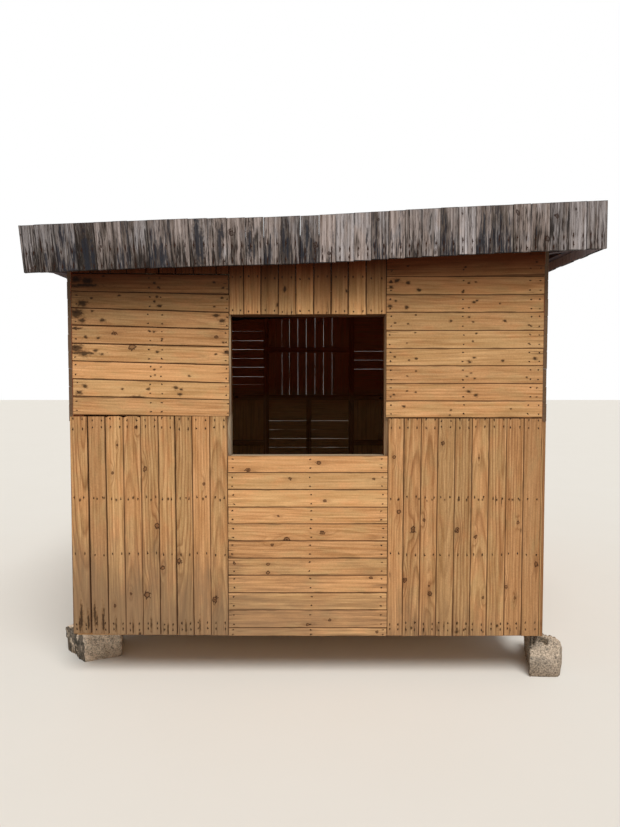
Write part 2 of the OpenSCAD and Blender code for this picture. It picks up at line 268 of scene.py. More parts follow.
def timber_knots(g, u, v, seed):
    """Where a framing timber has knots, and how near they bend its grain."""
    spacing, pitch, chance, large = 0.5, 0.085, 0.4, 0.009
    x = u / spacing + seed * 3.7
    y = v / pitch + seed * 1.9
    cell = g.node("ShaderNodeTexVoronoi", {"Vector": g.vector(x, y), "Scale": 1.0, "Randomness": 0.9},
                  voronoi_dimensions="2D")
    r1, r2, _ = cell[1].split()
    px, py, _ = cell[2].split()
    du = (x - px) * spacing
    dv = (y - py) * pitch
    here = r2 < chance
    size = r1 ** 1.6 * large + 0.003
    gap = hypot(du * 0.7, dv) * (g.noise((u, v, seed), 95.0) * 1.2 + 0.4)
    bend = here * hypot(du * 0.3, dv).between(0.042, 0.0)
    return here * (gap - size).between(0.0015, -0.001), bend


def grow_rings(g, u, v, w, seed, bend, spacing):
    """Pale and dark wood of the year rings, cut by the board's face at a slant."""
    side = (part_of(seed, 0.731) - 0.5) * 0.16
    deep = part_of(seed, 0.377) * 0.07 + 0.004
    tilt = (part_of(seed, 0.913) - 0.5) * 0.16
    sway = g.noise((u * 2.2 + seed, v * 9.0, w * 9.0))
    radius = hypot(v - side, w + deep + u * tilt) + ((sway - 0.5) * 0.022 + bend * 0.016)
    ring = g.put("ShaderNodeValToRGB", ((radius / spacing).fract(),))
    elements = ring.socket.node.color_ramp.elements
    for i, (place, level) in enumerate(((0.0, 0.0), (0.45, 0.15), (0.82, 1.0), (1.0, 0.0))):
        stop = elements[i] if i < 2 else elements.new(place)
        stop.position = place
        stop.color = (level, level, level, 1)
    return ring


def nail_marks(g, u, v, half, shift, long, wide, rough):
    """Dark marks round the two nails of each row, drawn out along the grain and broken up."""
    rows = g.attribute("rows_a") + g.attribute("rows_b")
    along = least(*[abs(u - row) for row in rows])
    across = abs(abs(v - shift) - half * (2 * NAIL_SIDE))
    reach = hypot(along / long, across / wide)
    return (reach + (rough - 0.5) * 1.1).between(1.0, 0.35)


KNOTS = ("knot_a", "knot_b", "knot_c")
BLOTS = tuple("blot_" + letter for letter in "abcdefgh")


def board_finish(name, look):
    """Sawn pallet wood: rings, fibres, knots, stains, nail marks, splits and weathering, with painted shade
    under the eave and painted light and shade on the inner faces.
    """
    g = new_finish(name)
    u, v, w = g.attribute("grain")
    seed, tone, half = g.attribute("board")
    end, shift, drawn = g.attribute("reach")
    reach_x, _, lift = g.place().split()
    place = g.vector(u + seed * 5.31, v + seed * 2.17, w)
    face = w < 0.0

    wobble = g.noise((u * 60.0, v * 95.0, seed), 1.0, 3.0)
    uneven = wobble.between(0.3, 0.7, 0.62, 1.5, False)
    bend = nearest_spot(g, u, v, KNOTS, 3.6).between(3.2, 0.6)
    rings = grow_rings(g, u, v, w, seed, bend, look.rings)
    fibre, streak, patch, lines, hue = [
        g.noise(g.combine("MULTIPLY", place, (along, across, across)), 1.0, detail, 0.62)
        for along, across, detail in (
            (7.0, 330.0, 3.0), (look.streak, 72.0, 5.0), (4.0, 13.0, 3.0), (look.line, 190.0, 3.0),
            (6.5, 15.0, 2.0))]
    grit = g.noise(place, 160.0, 3.0, 0.6)

    colour = g.coats(
        look.deep,
        (streak.between(look.streak_low, 1.0 - look.streak_low), look.pale),
        (rings * drawn * look.ring_depth, look.ring),
        (patch.between(0.45, 0.72) * 0.5, look.worn),
        (lines.between(0.5, 0.7, 0.0, look.line_depth) * drawn, look.ring))
    own = (part_of(seed, 0.193) - 0.5) * 0.3
    colour = g.tint(0.5, colour, g.mix((hue + own).between(0.38, 0.62), look.warm, look.cool))
    level = tone * look.spread + fibre.between(0.25, 0.75, 0.84, 1.12, False)
    colour = g.tint(1.0, colour, level + (grit + patch - 1.0) * look.mottle)

    # Grey splashes near the ground
    if look.weathered:
        splash = lift + (streak - 0.5) * 0.5 + (patch - 0.5) * 0.5 + reach_x * 0.22
        colour = g.mix(splash.between(0.7, 0.1, 0.0, 0.8), colour, look.splash)

    # Silvered and mouldy wood: brown clouds, and narrow black streaks that start at the lower end
    if look.mould_depth:
        cloud = g.noise((u * 4.5, v * 30.0, seed * 3.3), 1.0, 3.0, 0.6)
        rise = (u / end).between(-1.0, 0.8, 0.12, -0.02, False)
        dark = rise * (0.7 - tone * 0.3) - tone * 0.03
        smear = cloud + rise - tone * 0.05
        streaks = g.noise((u * 9.0, v * 118.0, seed * 1.7), 1.0, 3.0, 0.6) + dark + (cloud - 0.5) * 0.35
        fine = g.noise((u * 15.0, v * 260.0, seed), 1.0, 3.0, 0.7)
        mould = g.mix(part_of(seed, 0.61).between(0.7, 0.8), look.mould, look.mould_blue)
        colour = g.coats(
            colour,
            ((cloud + dark * 1.3).between(0.5, 0.68, 0.0, look.mould_depth), look.silt),
            (smear.between(0.66, 0.8, 0.0, 0.7), mould),
            (streaks.between(0.56, 0.64, 0.0, 0.85), mould),
            (fine.between(0.55, 0.65, 0.0, 0.7), look.stain),
            (fine.between(0.42, 0.3, 0.0, 0.35), look.bleached))

    # Knots with a dark rim, reddish inside, and pale or dark at the heart
    knot = nearest_spot(g, u, v, KNOTS, 1.25) * uneven
    rim = least(knot.between(1.3, 1.0), knot.between(0.5, 0.85))
    heart = knot.between(0.5, 0.25) * part_of(seed, 0.47).between(0.35, 0.4)

    # Stains of old holes and sap, and the marks that the nails leave
    blot = nearest_spot(g, u, v, BLOTS, 1.5, 9.0) * uneven
    nail = nail_marks(g, u, v, half, shift, (drawn + 0.6) * look.nail_run, look.nail_wide, wobble)

    # Splits that run in from the ends, and dirt along the edges
    line = g.noise((u * 1.1, v * 75.0, seed * 7.7))
    end_gap = end - abs(u)
    split = abs(line - 0.5).between(0.012, 0.003) * end_gap.between(look.split, 0.0)
    worn_off = grit * 0.0026 + hue.between(0.5, 0.64, 0.0, 0.0022)
    rub = abs(v) - (half - worn_off)
    edge = most(rub.between(-0.0016, 0.0), end_gap.between(0.0035, 0.0005))
    colour = g.coats(
        colour,
        (bend * bend * 0.22, look.knot),
        (knot.between(1.15, 0.9, 0.0, 0.5), look.knot),
        (most(rim, heart) * 0.8, look.stain),
        (face * blot.between(2.0, 0.8, 0.0, 0.5), look.halo),
        (face * blot.between(1.2, 0.5, 0.0, look.blot_depth), look.blot),
        (face * nail * look.nail_depth, look.stain),
        (split * 0.75, look.stain),
        (edge * look.edge_depth, look.edge))

    # Painted shade under the eave, then the sawn ends, and painted light and shade on the inner faces
    if look.weathered:
        high = lift + (patch - 0.5) * 0.07 - reach_x * RAKE
        colour = g.tint(high.between(1.84, 2.18), colour, look.soot)
    # Painted shade on the inner faces of the upper boards and painted light on those of the lower boards,
    # with faint streaks
    inner_shading = g.coats(look.inside, (lift.between(1.5, 1.2), look.inside_low),
                    (streak.between(0.46, 0.62, 0.0, 0.3), look.ring))
    colour = g.coats(colour, (end_gap.between(0.0009, 0.0004, 0.0, 0.8), look.end),
                     (w.between(0.0092, 0.0094, 0.0, look.inside_depth), inner_shading))

    height = rings * (drawn * 0.4) + fibre * 0.5 - (split * 1.6 + most(rim, lines * 0.4))
    rough = streak.between(0.3, 0.7, 0.92, 0.74, False)
    return end_finish(g, name, colour, rough, height, 0.0016, look.relief)


def timber_finish(name, axis, pale, deep, colours):
    """Sawn framing timber with its grain along one axis of the building."""
    g = new_finish(name)
    place = g.place()
    xyz = place.split()
    u, v, w = xyz[axis:] + xyz[:axis]
    seed = g.cells(g.vector(u * 0.05, v, w), 3.1, 1).split()[0] * 11.0
    knot, bend = timber_knots(g, u, v + w, seed)
    rings = grow_rings(g, u, v, w, seed, bend, 0.005)
    fibre = g.noise((u * 6.0, v * 300.0, w * 300.0), 1.0, 3.0, 0.6)
    streak = g.noise((u * 1.2, v * 40.0, w * 40.0), 1.0, 4.0, 0.6)
    patch = g.noise(place, 5.0, 4.0, 0.6)
    colour = g.coats(deep, (streak.between(0.32, 0.7), pale), (rings * 0.4, colours.ring),
                     (knot, colours.knot), (patch.between(0.5, 0.75, 0.0, 0.4), deep))
    colour = g.tint(1.0, colour, fibre.between(0.25, 0.75, 0.8, 1.1, False))
    # Painted shade on the frame's timbers above about 1.3 m
    if name.startswith("Timber"):
        colour = g.tint(xyz[2].between(1.3, 1.45), colour, colours.smoke)
    if name == "Surround along Z":
        front = near("front_studs").y
        right = xyz[0].between(-0.1, 0.1)
        colour = g.tint(right, colour, colours.jamb_right)
        # Painted shade on the deeper part of the window timbers' sides: their whole height on the right,
        # above about 1.4 m on the left
        shady = xyz[1].between(front + 0.004, front + 0.02) * most(right, xyz[2].between(1.36, 1.42))
        colour = g.tint(shady, colour, colours.jamb_side)
    rough = streak.between(0.3, 0.7, 0.9, 0.75, False)
    return end_finish(g, name, colour, rough, rings * 0.4 + fibre * 0.6, 0.0015)


def sheet_finish(name, colours):
    """Dull galvanised sheet with spangle, run-off streaks and rust."""
    g = new_finish(name)
    place = g.place()
    x, y, _ = place.split()
    flake = g.cells(place, 70.0, 1).split()[0]
    run = g.noise((x * 1.3, y * 26.0, 0.0), 1.0, 4.0, 0.6)
    cloud = g.noise(place, 2.6, 5.0, 0.6)
    rust = (run * 0.6 + cloud * 0.6).between(0.66, 0.8)
    grain = g.noise(place, 120.0, 4.0, 0.7)
    colour = g.coats(
        colours.zinc, (flake.between(0.0, 1.0, 0.2, 0.8), colours.zinc_dull),
        (run.between(0.4, 0.7, 0.0, 0.5), colours.dust), (rust * grain.between(0.25, 0.6), colours.rust))
    rough = flake * 0.12 + rust.between(0.0, 1.0, 0.42, 0.8)
    height = flake * 0.05 + (grain * rust + cloud * 0.2)
    return end_finish(g, name, colour, rough, height, 0.0015, 0.35, rust.between(0.0, 0.6, 0.85, 0.1))


def iron_finish(name, colours):
    """Dark iron with a skin of rust."""
    g = new_finish(name)
    place = g.place()
    cloud = g.noise(place, 45.0, 4.0, 0.65)
    grain = g.noise(place, 420.0, 3.0, 0.6)
    rust = (cloud * 0.7 + grain * 0.3).between(0.36, 0.5)
    colour = g.coats(colours.iron, (rust, colours.rust), (grain.between(0.5, 0.8, 0.0, 0.5), colours.stain))
    rough = rust.between(0.0, 1.0, 0.48, 0.88)
    return end_finish(g, name, colour, rough, grain, 0.0006, 0.5, rust.between(0.0, 1.0, 0.5, 0.0))


def block_finish(name, colours):
    """Coarse sandcrete: sandy skin, dark pores, pale stones and soil at the foot."""
    g = new_finish(name)
    place = g.place()
    across, depth, lift = place.split()
    cloud = g.noise(place, 7.0, 5.0, 0.6)
    sand = g.noise(place, 120.0, 5.0, 0.8)
    pores = g.cells(place, 34.0).between(0.2, 0.1)
    foot = (lift + (cloud - 0.5) * 0.16).between(0.09, 0.0)

    # Dark growth, more of it on the shaded outer side of the left blocks, and specks
    sideways, _, upward = g.put("ShaderNodeNewGeometry", (), 1).split()
    shaded_side = sideways.between(-0.2, -0.55) * (across < 0.0)
    growth = g.noise(place, 14.0, 5.0, 0.7) + shaded_side * 0.15 - across.between(-0.2, 0.2, 0.0, 0.25)
    speck = g.noise(place, 48.0, 3.0, 0.7).between(0.57, 0.66)
    dusty = (upward + (sand - 0.5) * 0.7).between(0.3, 0.75)
    colour = g.coats(
        colours.block_dark,
        (cloud.between(0.34, 0.66), colours.block),
        (sand.between(0.35, 0.7, 0.0, 0.55), colours.sand),
        (g.cells(place, 62.0).between(0.16, 0.08, 0.0, 0.7), colours.pebble),
        (pores * 0.5, colours.pore),
        (foot * 0.45, colours.soil),
        (growth.between(0.6, 0.76, 0.0, 0.8), colours.lichen),
        (speck * across.between(-0.5, 0.5, 0.65, 0.3), colours.pore),
        (dusty * 0.85, colours.sand))

    # Painted light and shade: paler towards the front left and darker towards the right and the back,
    # mottled by the sand, and painted shade on the outer side of the left blocks
    bleached = (across + depth.between(-0.5, 0.5, 0.0, 1.2)).between(-0.5, 0.5, 1.65, 0.82)
    pale = least(bleached * sand.between(0.34, 0.66, 0.42, 1.5), 1.75) * (1.0 - shaded_side * 0.72)
    colour = g.tint(1.0, colour, g.vector(pale, pale * 1.06, pale * 1.14))
    height = sand * 0.7 + cloud * 0.5 - pores * 0.9
    return end_finish(g, name, colour, sand.between(0.3, 0.7, 0.98, 0.86, False), height, 0.006, 0.8)


def board_looks(c):
    """Colours and measures of the three kinds of boards."""
    wall = dict(
        pale=c.pine, deep=c.pine_deep, ring=c.ring, worn=c.pine_worn, warm=c.warm, cool=c.cool,
        knot=c.knot, stain=c.stain, blot=c.blot, halo=c.halo, edge=c.edge, end=c.end, soot=c.soot,
        splash=c.splash, inside=c.inside, inside_low=c.inside_low, weathered=True, spread=0.16,
        rings=0.0145, ring_depth=0.7, streak=2.8, streak_low=0.27, line=4.5, line_depth=0.52,
        mottle=0.42, nail_run=0.0085, nail_wide=0.0046, nail_depth=0.74, blot_depth=0.78, split=0.12,
        edge_depth=0.6, mould_depth=0.0, relief=0.4, inside_depth=0.85)
    fascia = dict(
        wall, pale=c.silver, deep=c.silver_deep, ring=c.silver_ring, worn=c.silver_worn,
        warm=c.silver_warm, cool=c.silver_cool, knot=c.grey_knot, silt=c.silt, mould=c.mould,
        mould_blue=c.mould_blue, bleached=c.bleached, halo=c.silt, edge=c.mould, end=c.mould,
        blot=c.mould_blue, inside=c.grey_inside, inside_low=c.grey_inside, weathered=False, spread=0.19,
        ring_depth=0.35, streak=1.1, streak_low=0.34, line=2.6, line_depth=0.7, mottle=0.0,
        nail_run=0.02, nail_depth=0.95, blot_depth=0.8, split=0.3, mould_depth=0.8, relief=0.7,
        inside_depth=0.8)
    floor = dict(wall, pale=c.deck, deep=c.deck_deep, weathered=False)
    return {"Wall boards": wall, "Fascia boards": fascia, "Floor boards": floor}


# ---------------------------------------------------------------- geometry trees

def new_tree(name, inputs):
    """The builder of a geometry tree, and the tree's inputs by name."""
    tree = bpy.data.node_groups.new(name, "GeometryNodeTree")
    tree.interface.new_socket("Geometry", in_out="OUTPUT", socket_type="NodeSocketGeometry")
    for title, kind in {"Geometry": "Geometry", **inputs, "Material": "Material"}.items():
        tree.interface.new_socket(title, in_out="INPUT", socket_type="NodeSocket" + kind)
    g = Graph(tree)
    return g, {value.socket.name: value for value in g.node("NodeGroupInput")}


def close_tree(g, given, geometry):
    painted = g.put("GeometryNodeSetMaterial", {"Geometry": geometry, "Material": given["Material"]})
    g.node("NodeGroupOutput", (painted,))
    return g.tree


def named(g, name, kind="FLOAT_VECTOR"):
    return g.put("GeometryNodeInputNamedAttribute", {"Name": name}, data_type=kind)


def store(g, geometry, name, value):
    kept = g.put("GeometryNodeStoreNamedAttribute", {"Geometry": geometry, "Name": name},
                 data_type="FLOAT_VECTOR", domain="POINT")
    slot = [s for s in kept.socket.node.inputs if s.name == "Value" and s.enabled][0]
    g.tree.links.new(value.socket, slot)
    return kept


def real_copies(g, given, shape):
    """A real copy of a shape on each point, with each corner's place in the shape as its unit."""
    shape = store(g, shape, "unit", g.put("GeometryNodeInputPosition"))
    copies = g.put("GeometryNodeInstanceOnPoints", {"Points": given["Geometry"], "Instance": shape})
    return g.put("GeometryNodeRealizeInstances", (copies,))


def turn_of(g):
    return g.put("FunctionNodeEulerToRotation", (named(g, "turn"),))


def board_tree():
    """Turns each point into a board with eased edges, wandering sides, cut ends and a slight bow."""
    g, given = new_tree("Boards", {"Wander": "Float", "Bow": "Float", "Ease": "Float"})
    boards = real_copies(g, given, g.put("GeometryNodeMeshCube", {
        "Size": (1, 1, 1), "Vertices X": 13, "Vertices Y": 7, "Vertices Z": 2}))
    unit = named(g, "unit")
    place = g.combine("SUBTRACT", g.put("GeometryNodeInputPosition"), unit)
    ux, uy, uz = unit.split()
    long, wide, thick = named(g, "size").split()
    taper, cut_low, cut_high = named(g, "form").split()
    seed = named(g, "board").split()[0]

    off, hand = abs(uy), g.math("SIGN", uy)
    y = hand * least(off * 1.36 + 0.02, 0.5)
    u = ux * long
    v = y * (wide + taper * u)
    sway = g.noise((u * 4.0, hand * 5.0, seed * 9.1))
    v = v + (sway - 0.5) * given["Wander"] * (y * hand)
    u = u + v * ((cut_high - cut_low) * (ux + 0.5) + cut_low)
    nib = most((off - 0.18) / 0.32, 0.0) ** 1.4
    u = u - named(g, "ear", "FLOAT") * nib * (ux > 0.49)
    flex = g.noise((u * 1.7, seed * 3.7, 0.0), 1.0, 1.0) - 0.5
    w = uz * thick * (1.0 - (off > 0.49) * (given["Ease"] / thick)) + flex * given["Bow"]
    turned = g.put("FunctionNodeRotateVector", {"Vector": g.vector(u, v, w), "Rotation": turn_of(g)})
    boards = g.put("GeometryNodeSetPosition", {
        "Geometry": boards, "Position": g.combine("ADD", place, turned)})
    return close_tree(g, given, store(g, boards, "grain", g.vector(u, v, uz * 0.019)))


def nail_tree():
    """Puts a low domed head on each point, turned out of its board."""
    g, given = new_tree("Nails", {"Radius": "Float"})
    head = g.put("GeometryNodeMeshCone", {
        "Vertices": 8, "Side Segments": 2, "Radius Top": 0.5, "Radius Bottom": 1.0, "Depth": 0.36})
    scale = given["Radius"] * named(g, "scale", "FLOAT")
    heads = g.put("GeometryNodeInstanceOnPoints", {
        "Points": given["Geometry"], "Instance": head, "Rotation": turn_of(g),
        "Scale": g.vector(scale, scale, scale)})
    return close_tree(g, given, g.put("GeometryNodeRealizeInstances", (heads,)))


def sheet_tree():
    """Corrugated sheets, one on each point, whose waves run down the roof."""
    g, given = new_tree("Corrugated sheets", {
        "Length": "Float", "Waves": "Int", "Pitch": "Float", "Depth": "Float", "Rake": "Float",
        "Phase": "Float"})
    sheets = real_copies(g, given, g.put("GeometryNodeMeshGrid", {
        "Size X": given["Length"], "Size Y": given["Waves"] * given["Pitch"], "Vertices X": 9,
        "Vertices Y": given["Waves"] * 10.0 + 1.0}))
    x, y, _ = g.put("GeometryNodeInputPosition").split()
    ux = named(g, "unit").split()[0]
    turn = (y - given["Phase"]) / given["Pitch"]
    wave = 1.0 - g.math("COSINE", turn * (2 * math.pi))
    dent = g.noise((x * 2.3, y * 3.1, 4.0)) - 0.5
    up = wave * (given["Depth"] * 0.5) + (ux * given["Rake"] + dent * 0.003)
    sheets = g.put("GeometryNodeSetPosition", {"Geometry": sheets, "Offset": g.vector(0.0, 0.0, up)})
    return close_tree(g, given, sheets)


def stand(name, data):
    """A new object in the scene."""
    obj = bpy.data.objects.new(name, data)
    bpy.context.scene.collection.objects.link(obj)
    return obj


def point_mesh(name, points, attributes):
    mesh = bpy.data.meshes.new(name)
    mesh.from_pydata([tuple(p) for p in points], [], [])
    for key, values in attributes.items():
        vector = isinstance(values[0], (tuple, list))
        layer = mesh.attributes.new(key, "FLOAT_VECTOR" if vector else "FLOAT", "POINT")
        flat = [c for value in values for c in value] if vector else values
        layer.data.foreach_set("vector" if vector else "value", flat)
    return mesh


def grow(name, points, tree, values, keep=()):
    """Runs a geometry tree on a mesh of points and leaves a plain mesh object."""
    obj = stand(name, points)
    modifier = obj.modifiers.new("Tree", "NODES")
    modifier.node_group = tree
    for item in tree.interface.items_tree:
        if item.item_type == "SOCKET" and item.in_out == "INPUT" and item.name in values:
            modifier[item.identifier] = values[item.name]
    graph = bpy.context.evaluated_depsgraph_get()
    mesh = bpy.data.meshes.new_from_object(
        obj.evaluated_get(graph), preserve_all_data_layers=True, depsgraph=graph)
    obj.modifiers.remove(modifier)
    obj.data = mesh
    mesh.name = name
    for layer in [a.name for a in mesh.attributes if not a.is_internal and not a.is_required]:
        if layer not in keep:
            mesh.attributes.remove(mesh.attributes[layer])
    mesh.materials.clear()
    mesh.materials.append(values["Material"])
    mesh.shade_flat()
    return obj


# ---------------------------------------------------------------- laying of boards

class Wall:
    """One outer face: its middle at ground level, the ways along and up it, and the way in."""

    def __init__(self, middle, along, rake=0.0, up=UP):
        self.middle = Vector(middle)
        self.along = Vector(along)
        self.up = Vector(up)
        self.inward = self.up.cross(self.along)
        self.rake = rake

    def roof(self, s):
        """Height of the roof timbers' underside at a place along the wall."""
        return eave_z((self.middle + self.along * s).x) + RAIL_UP


FRONT = Wall((MIDDLE_X, -WALL_Y, 0), (1, 0, 0), RAKE)
BACK = Wall((MIDDLE_X, WALL_Y, 0), (-1, 0, 0), -RAKE)
LEFT = Wall((SIDE_LEFT, 0, 0), (0, -1, 0))
RIGHT = Wall((SIDE_RIGHT, 0, 0), (0, 1, 0))
DECK = Wall((MIDDLE_X, 0, DECK_Z), (1, 0, 0), up=(0, 1, 0))


class Boards:
    """Collects the boards of one piece, and the nails that hold them."""
    knot_places = blot_places = None
    drawn = (0.3, 1.0)

    def __init__(self, seed, thickness=0.019, gap=0.0028, stains=1.0, fits=(0.6, 0.9, 1.0, 1.3)):
        self.rng = random.Random(seed)
        self.thickness = thickness
        self.gap = gap
        self.stains = stains
        self.fits = fits
        self.points = []
        self.data = {}
        self.nails = []

    def note(self, **values):
        for key, value in values.items():
            self.data.setdefault(key, []).append(value)

    def spots(self, names, places, rate, large, middle, u, v, length, width):
        """Notes the knots or stains that are placed on a board, or a few anywhere on it."""
        rng, found = self.rng, []
        if places is None:
            found = [(rng.uniform(-0.48, 0.48) * length, rng.uniform(-0.42, 0.42) * width,
                      0.004 + large * rng.random() ** 2) for _ in range(int(length * rate + rng.random()))]
        for s, z, size in places or ():
            gap = FRONT.middle + FRONT.along * (s / MM) + UP * (z / MM) - middle
            if abs(gap.dot(u)) < length / 2 and abs(gap.dot(v)) < width / 2 + 0.001:
                found.append((gap.dot(u), gap.dot(v), size / (1200 if s > BAY_X * MM else MM)))
        found += [(NEVER, NEVER, 0.01)] * len(names)
        self.note(**dict(zip(names, found)))

    def add(self, wall, level, low, high, ends, rows=(), tone=None, ear=0.0, gap=None, cuts=(None, None),
            sink=0.0, fit=None):
        """One board between two joint lines, each given by its places at the board's two ends."""
        rng = self.rng
        usual = rng.choice(self.fits)
        if gap is None:
            gap = self.gap * (usual if fit is None else fit)
        length = ends[1] - ends[0]
        width = (high[0] + high[1] - low[0] - low[1]) / 2 - gap
        lean = (high[1] + low[1] - high[0] - low[0]) / 2 / length
        taper = ((high[1] - low[1]) - (high[0] - low[0])) / length
        run, cross = (wall.along, wall.up) if level else (wall.up, wall.along)
        u = (run + cross * lean).normalized()
        v = wall.inward.cross(u)
        skews = [(cut or cross).dot(u) / (cut or cross).dot(v) for cut in cuts]
        thick = self.thickness + rng.uniform(-0.0008, 0.0008)
        middle = wall.middle + run * (sum(ends) / 2) + cross * (sum(low) + sum(high)) / 4
        middle += wall.inward * (sink + thick / 2 + rng.uniform(0.0006, 0.0022))
        shift = rng.uniform(-0.05, 0.05) * width
        local = [r - sum(ends) / 2 for r in rows if ends[0] < r < ends[1]][:6]
        local = [r + rng.uniform(-0.007, 0.007) for r in local]
        padded = tuple(local) + (NEVER,) * (6 - len(local))
        self.spots(KNOTS, self.knot_places, 1.7, 0.008, middle, u, v, length, width)
        self.spots(BLOTS, self.blot_places, self.stains, 0.014, middle, u, v, length, width)
        self.points.append(middle)
        self.note(
            size=(length - gap, width, thick), form=(taper, *skews), ear=ear,
            turn=tuple(Matrix((u, v, wall.inward)).transposed().to_euler()),
            board=(rng.uniform(1.0, 40.0), rng.gauss(0, 0.45) if tone is None else tone, width / 2),
            rows_a=padded[:3], rows_b=padded[3:], reach=(length / 2, shift, rng.uniform(*self.drawn)))
        head = tuple(Matrix((v, u, -wall.inward)).transposed().to_euler())
        for row in local:
            for side in (-1, 1):
                across = shift + side * NAIL_SIDE * width + rng.uniform(-0.003, 0.003)
                spot = middle + u * (row + rng.uniform(-0.004, 0.004)) + v * across
                self.nails.append((spot - wall.inward * thick / 2, head, rng.uniform(0.7, 1.1)))

    def make(self, name, finish_name):
        mesh = point_mesh(name, self.points, self.data)
        sizes = settings()[0]
        return grow(name, mesh, bpy.data.node_groups.get("Boards") or board_tree(), {
            "Wander": sizes.edge_wander, "Bow": sizes.bow, "Ease": sizes.edge_ease,
            "Material": finish(finish_name),
        }, ("grain", "board", "rows_a", "rows_b", "reach", *KNOTS, *BLOTS))


def make_nails(name, heads, radius=None):
    places, turns, scales = zip(*heads)
    mesh = point_mesh(name, places, {"turn": turns, "scale": scales})
    tree = bpy.data.node_groups.get("Nails") or nail_tree()
    radius = radius or settings()[0].nail
    settle(grow(name, mesh, tree, {"Radius": radius, "Material": finish("Iron")}), None)


def joints(start, end, widths):
    """Joint lines from one end of a panel to the other, in proportion to the boards' widths."""
    scale = (end - start) / sum(widths)
    lines = [start]
    for width in widths:
        lines.append(lines[-1] + width * scale)
    return lines


def mixed_joints(rng, start, end, usual=BOARD):
    """Joint lines of boards that are all a little different."""
    widths = [rng.uniform(0.93, 1.07) for _ in range(max(1, round((end - start) / usual)))]
    return joints(start, end, widths)


def at(values, i, usual=None):
    """The value given for board i, or the usual one."""
    return usual if i >= len(values) or values[i] is None else values[i]


def lay_upright(boards, wall, s0, s1, z0, z1, rows, widths=None, tones=(), ears=(), fits=(), lean=0.0,
                rise=0.0):
    """Upright boards side by side. The upper end is a height, or None where the roof cuts it. Tones
    say how pale each board is, ears how far the corners of its top are cut off, and fits how open its
    joint is."""
    rng = boards.rng
    lines = joints(s0, s1, widths) if widths else mixed_joints(rng, s0, s1)
    leans = [lean + rng.uniform(-0.003, 0.003) for _ in lines]
    leans[0] = leans[-1] = 0.0
    for i, (a, b) in enumerate(zip(lines, lines[1:])):
        top = wall.roof((a + b) / 2) if z1 is None else z1
        cut = wall.along + UP * wall.rake if z1 is None else None
        low = (a - leans[i] / 2, a + leans[i] / 2)
        high = (b - leans[i + 1] / 2, b + leans[i + 1] / 2)
        drop = rng.uniform(0.0, 0.004) + rise * (s1 - a) / (s1 - s0)
        boards.add(wall, False, low, high, (z0 + drop, top), rows, at(tones, i), at(ears, i, 0.0),
                   cuts=(None, cut), fit=at(fits, i))


def lay_level(boards, wall, s0, s1, lines, rows, tones=(), roof=False, fits=(), ragged=0.002):
    """Level boards one above the other between joint lines, the top one cut by the roof."""
    lines = [line if isinstance(line, tuple) else (line, line) for line in lines]
    if roof:
        lines.append((wall.roof(s0), wall.roof(s1)))
    for i, (low, high) in enumerate(zip(lines, lines[1:])):
        ends = s0 + boards.rng.uniform(0, ragged), s1 - boards.rng.uniform(0, 0.002)
        boards.add(wall, True, low, high, ends, rows, at(tones, i), fit=at(fits, i))


def roof_lines(rng, wall, s0, s1):
    """Joint lines of level boards from the split up to the roof, leaving one cut board above them."""
    top = min(wall.roof(s0), wall.roof(s1))
    count = int((top - SIDE_SPLIT - 0.035) / BOARD)
    return [SIDE_SPLIT + i * BOARD + (rng.uniform(-0.003, 0.003) if i else 0) for i in range(count + 1)]


# Heights of the nail rows, and how far nails stay inside the frame's edge and a bay's edge
LOW_ROWS = (0.258, 0.287, 0.66, 0.957, 1.325, 1.368)
SIDE_LOW_ROWS = (0.252, 0.29, 0.9, 1.345, 1.368)
SIDE_TOP_ROWS = (1.4, 1.83, 2.13)
DOOR_ROWS = (0.55, 0.575, 1.23, 1.255, 1.91, 1.935)
NAIL_IN = 0.025
COLUMN_IN = 0.03
DOOR_COLUMNS = (DOOR_POSTS[0] + COLUMN_IN, 1.12, 1.42)

# Knots and stains of the front wall in millimetres: place along the wall, height, and size, which is
# below zero for a streak
UPPER_KNOTS = (
    (-908, 1743, 14), (-999, 1815, 9), (-473, 1795, 8),
)
LOWER_KNOTS = (
    (-848, 1109, 10), (-1018, 1088, 7), (-992, 1235, 5), (-789, 809, 12), (-846, 442, 14), (-930, 448, 6),
    (-762, 586, 8), (-675, 623, 10), (-541, 1030, 7), (-488, 416, 13), (-892, 1324, 7), (-840, 1308, 6),
    (-1015, 383, 7), (59, 1141, 10), (-311, 1104, 10), (-92, 1059, 7), (346, 1057, 6), (-208, 605, 7),
    (-209, 560, 8), (-384, 607, 5), (59, 570, 7), (96, 586, 5), (75, 772, 9), (-109, 735, 12),
    (-187, 708, 7), (-155, 862, 5), (90, 941, 6), (333, 533, 7), (1, 282, 7), (117, 308, 6), (365, 244, 7),
    (452, 1172, 9), (704, 1245, 10), (892, 1167, 5), (477, 883, 12), (608, 841, 8), (551, 788, 14),
    (784, 788, 14), (879, 751, 8), (511, 522, 12), (643, 448, 14), (638, 490, 6), (626, 597, 10),
    (922, 426, 8), (1043, 485, 10), (1091, 426, 7), (1100, 825, 7), (1198, 607, 12), (656, 1360, 12),
    (1103, 1030, 10),
)
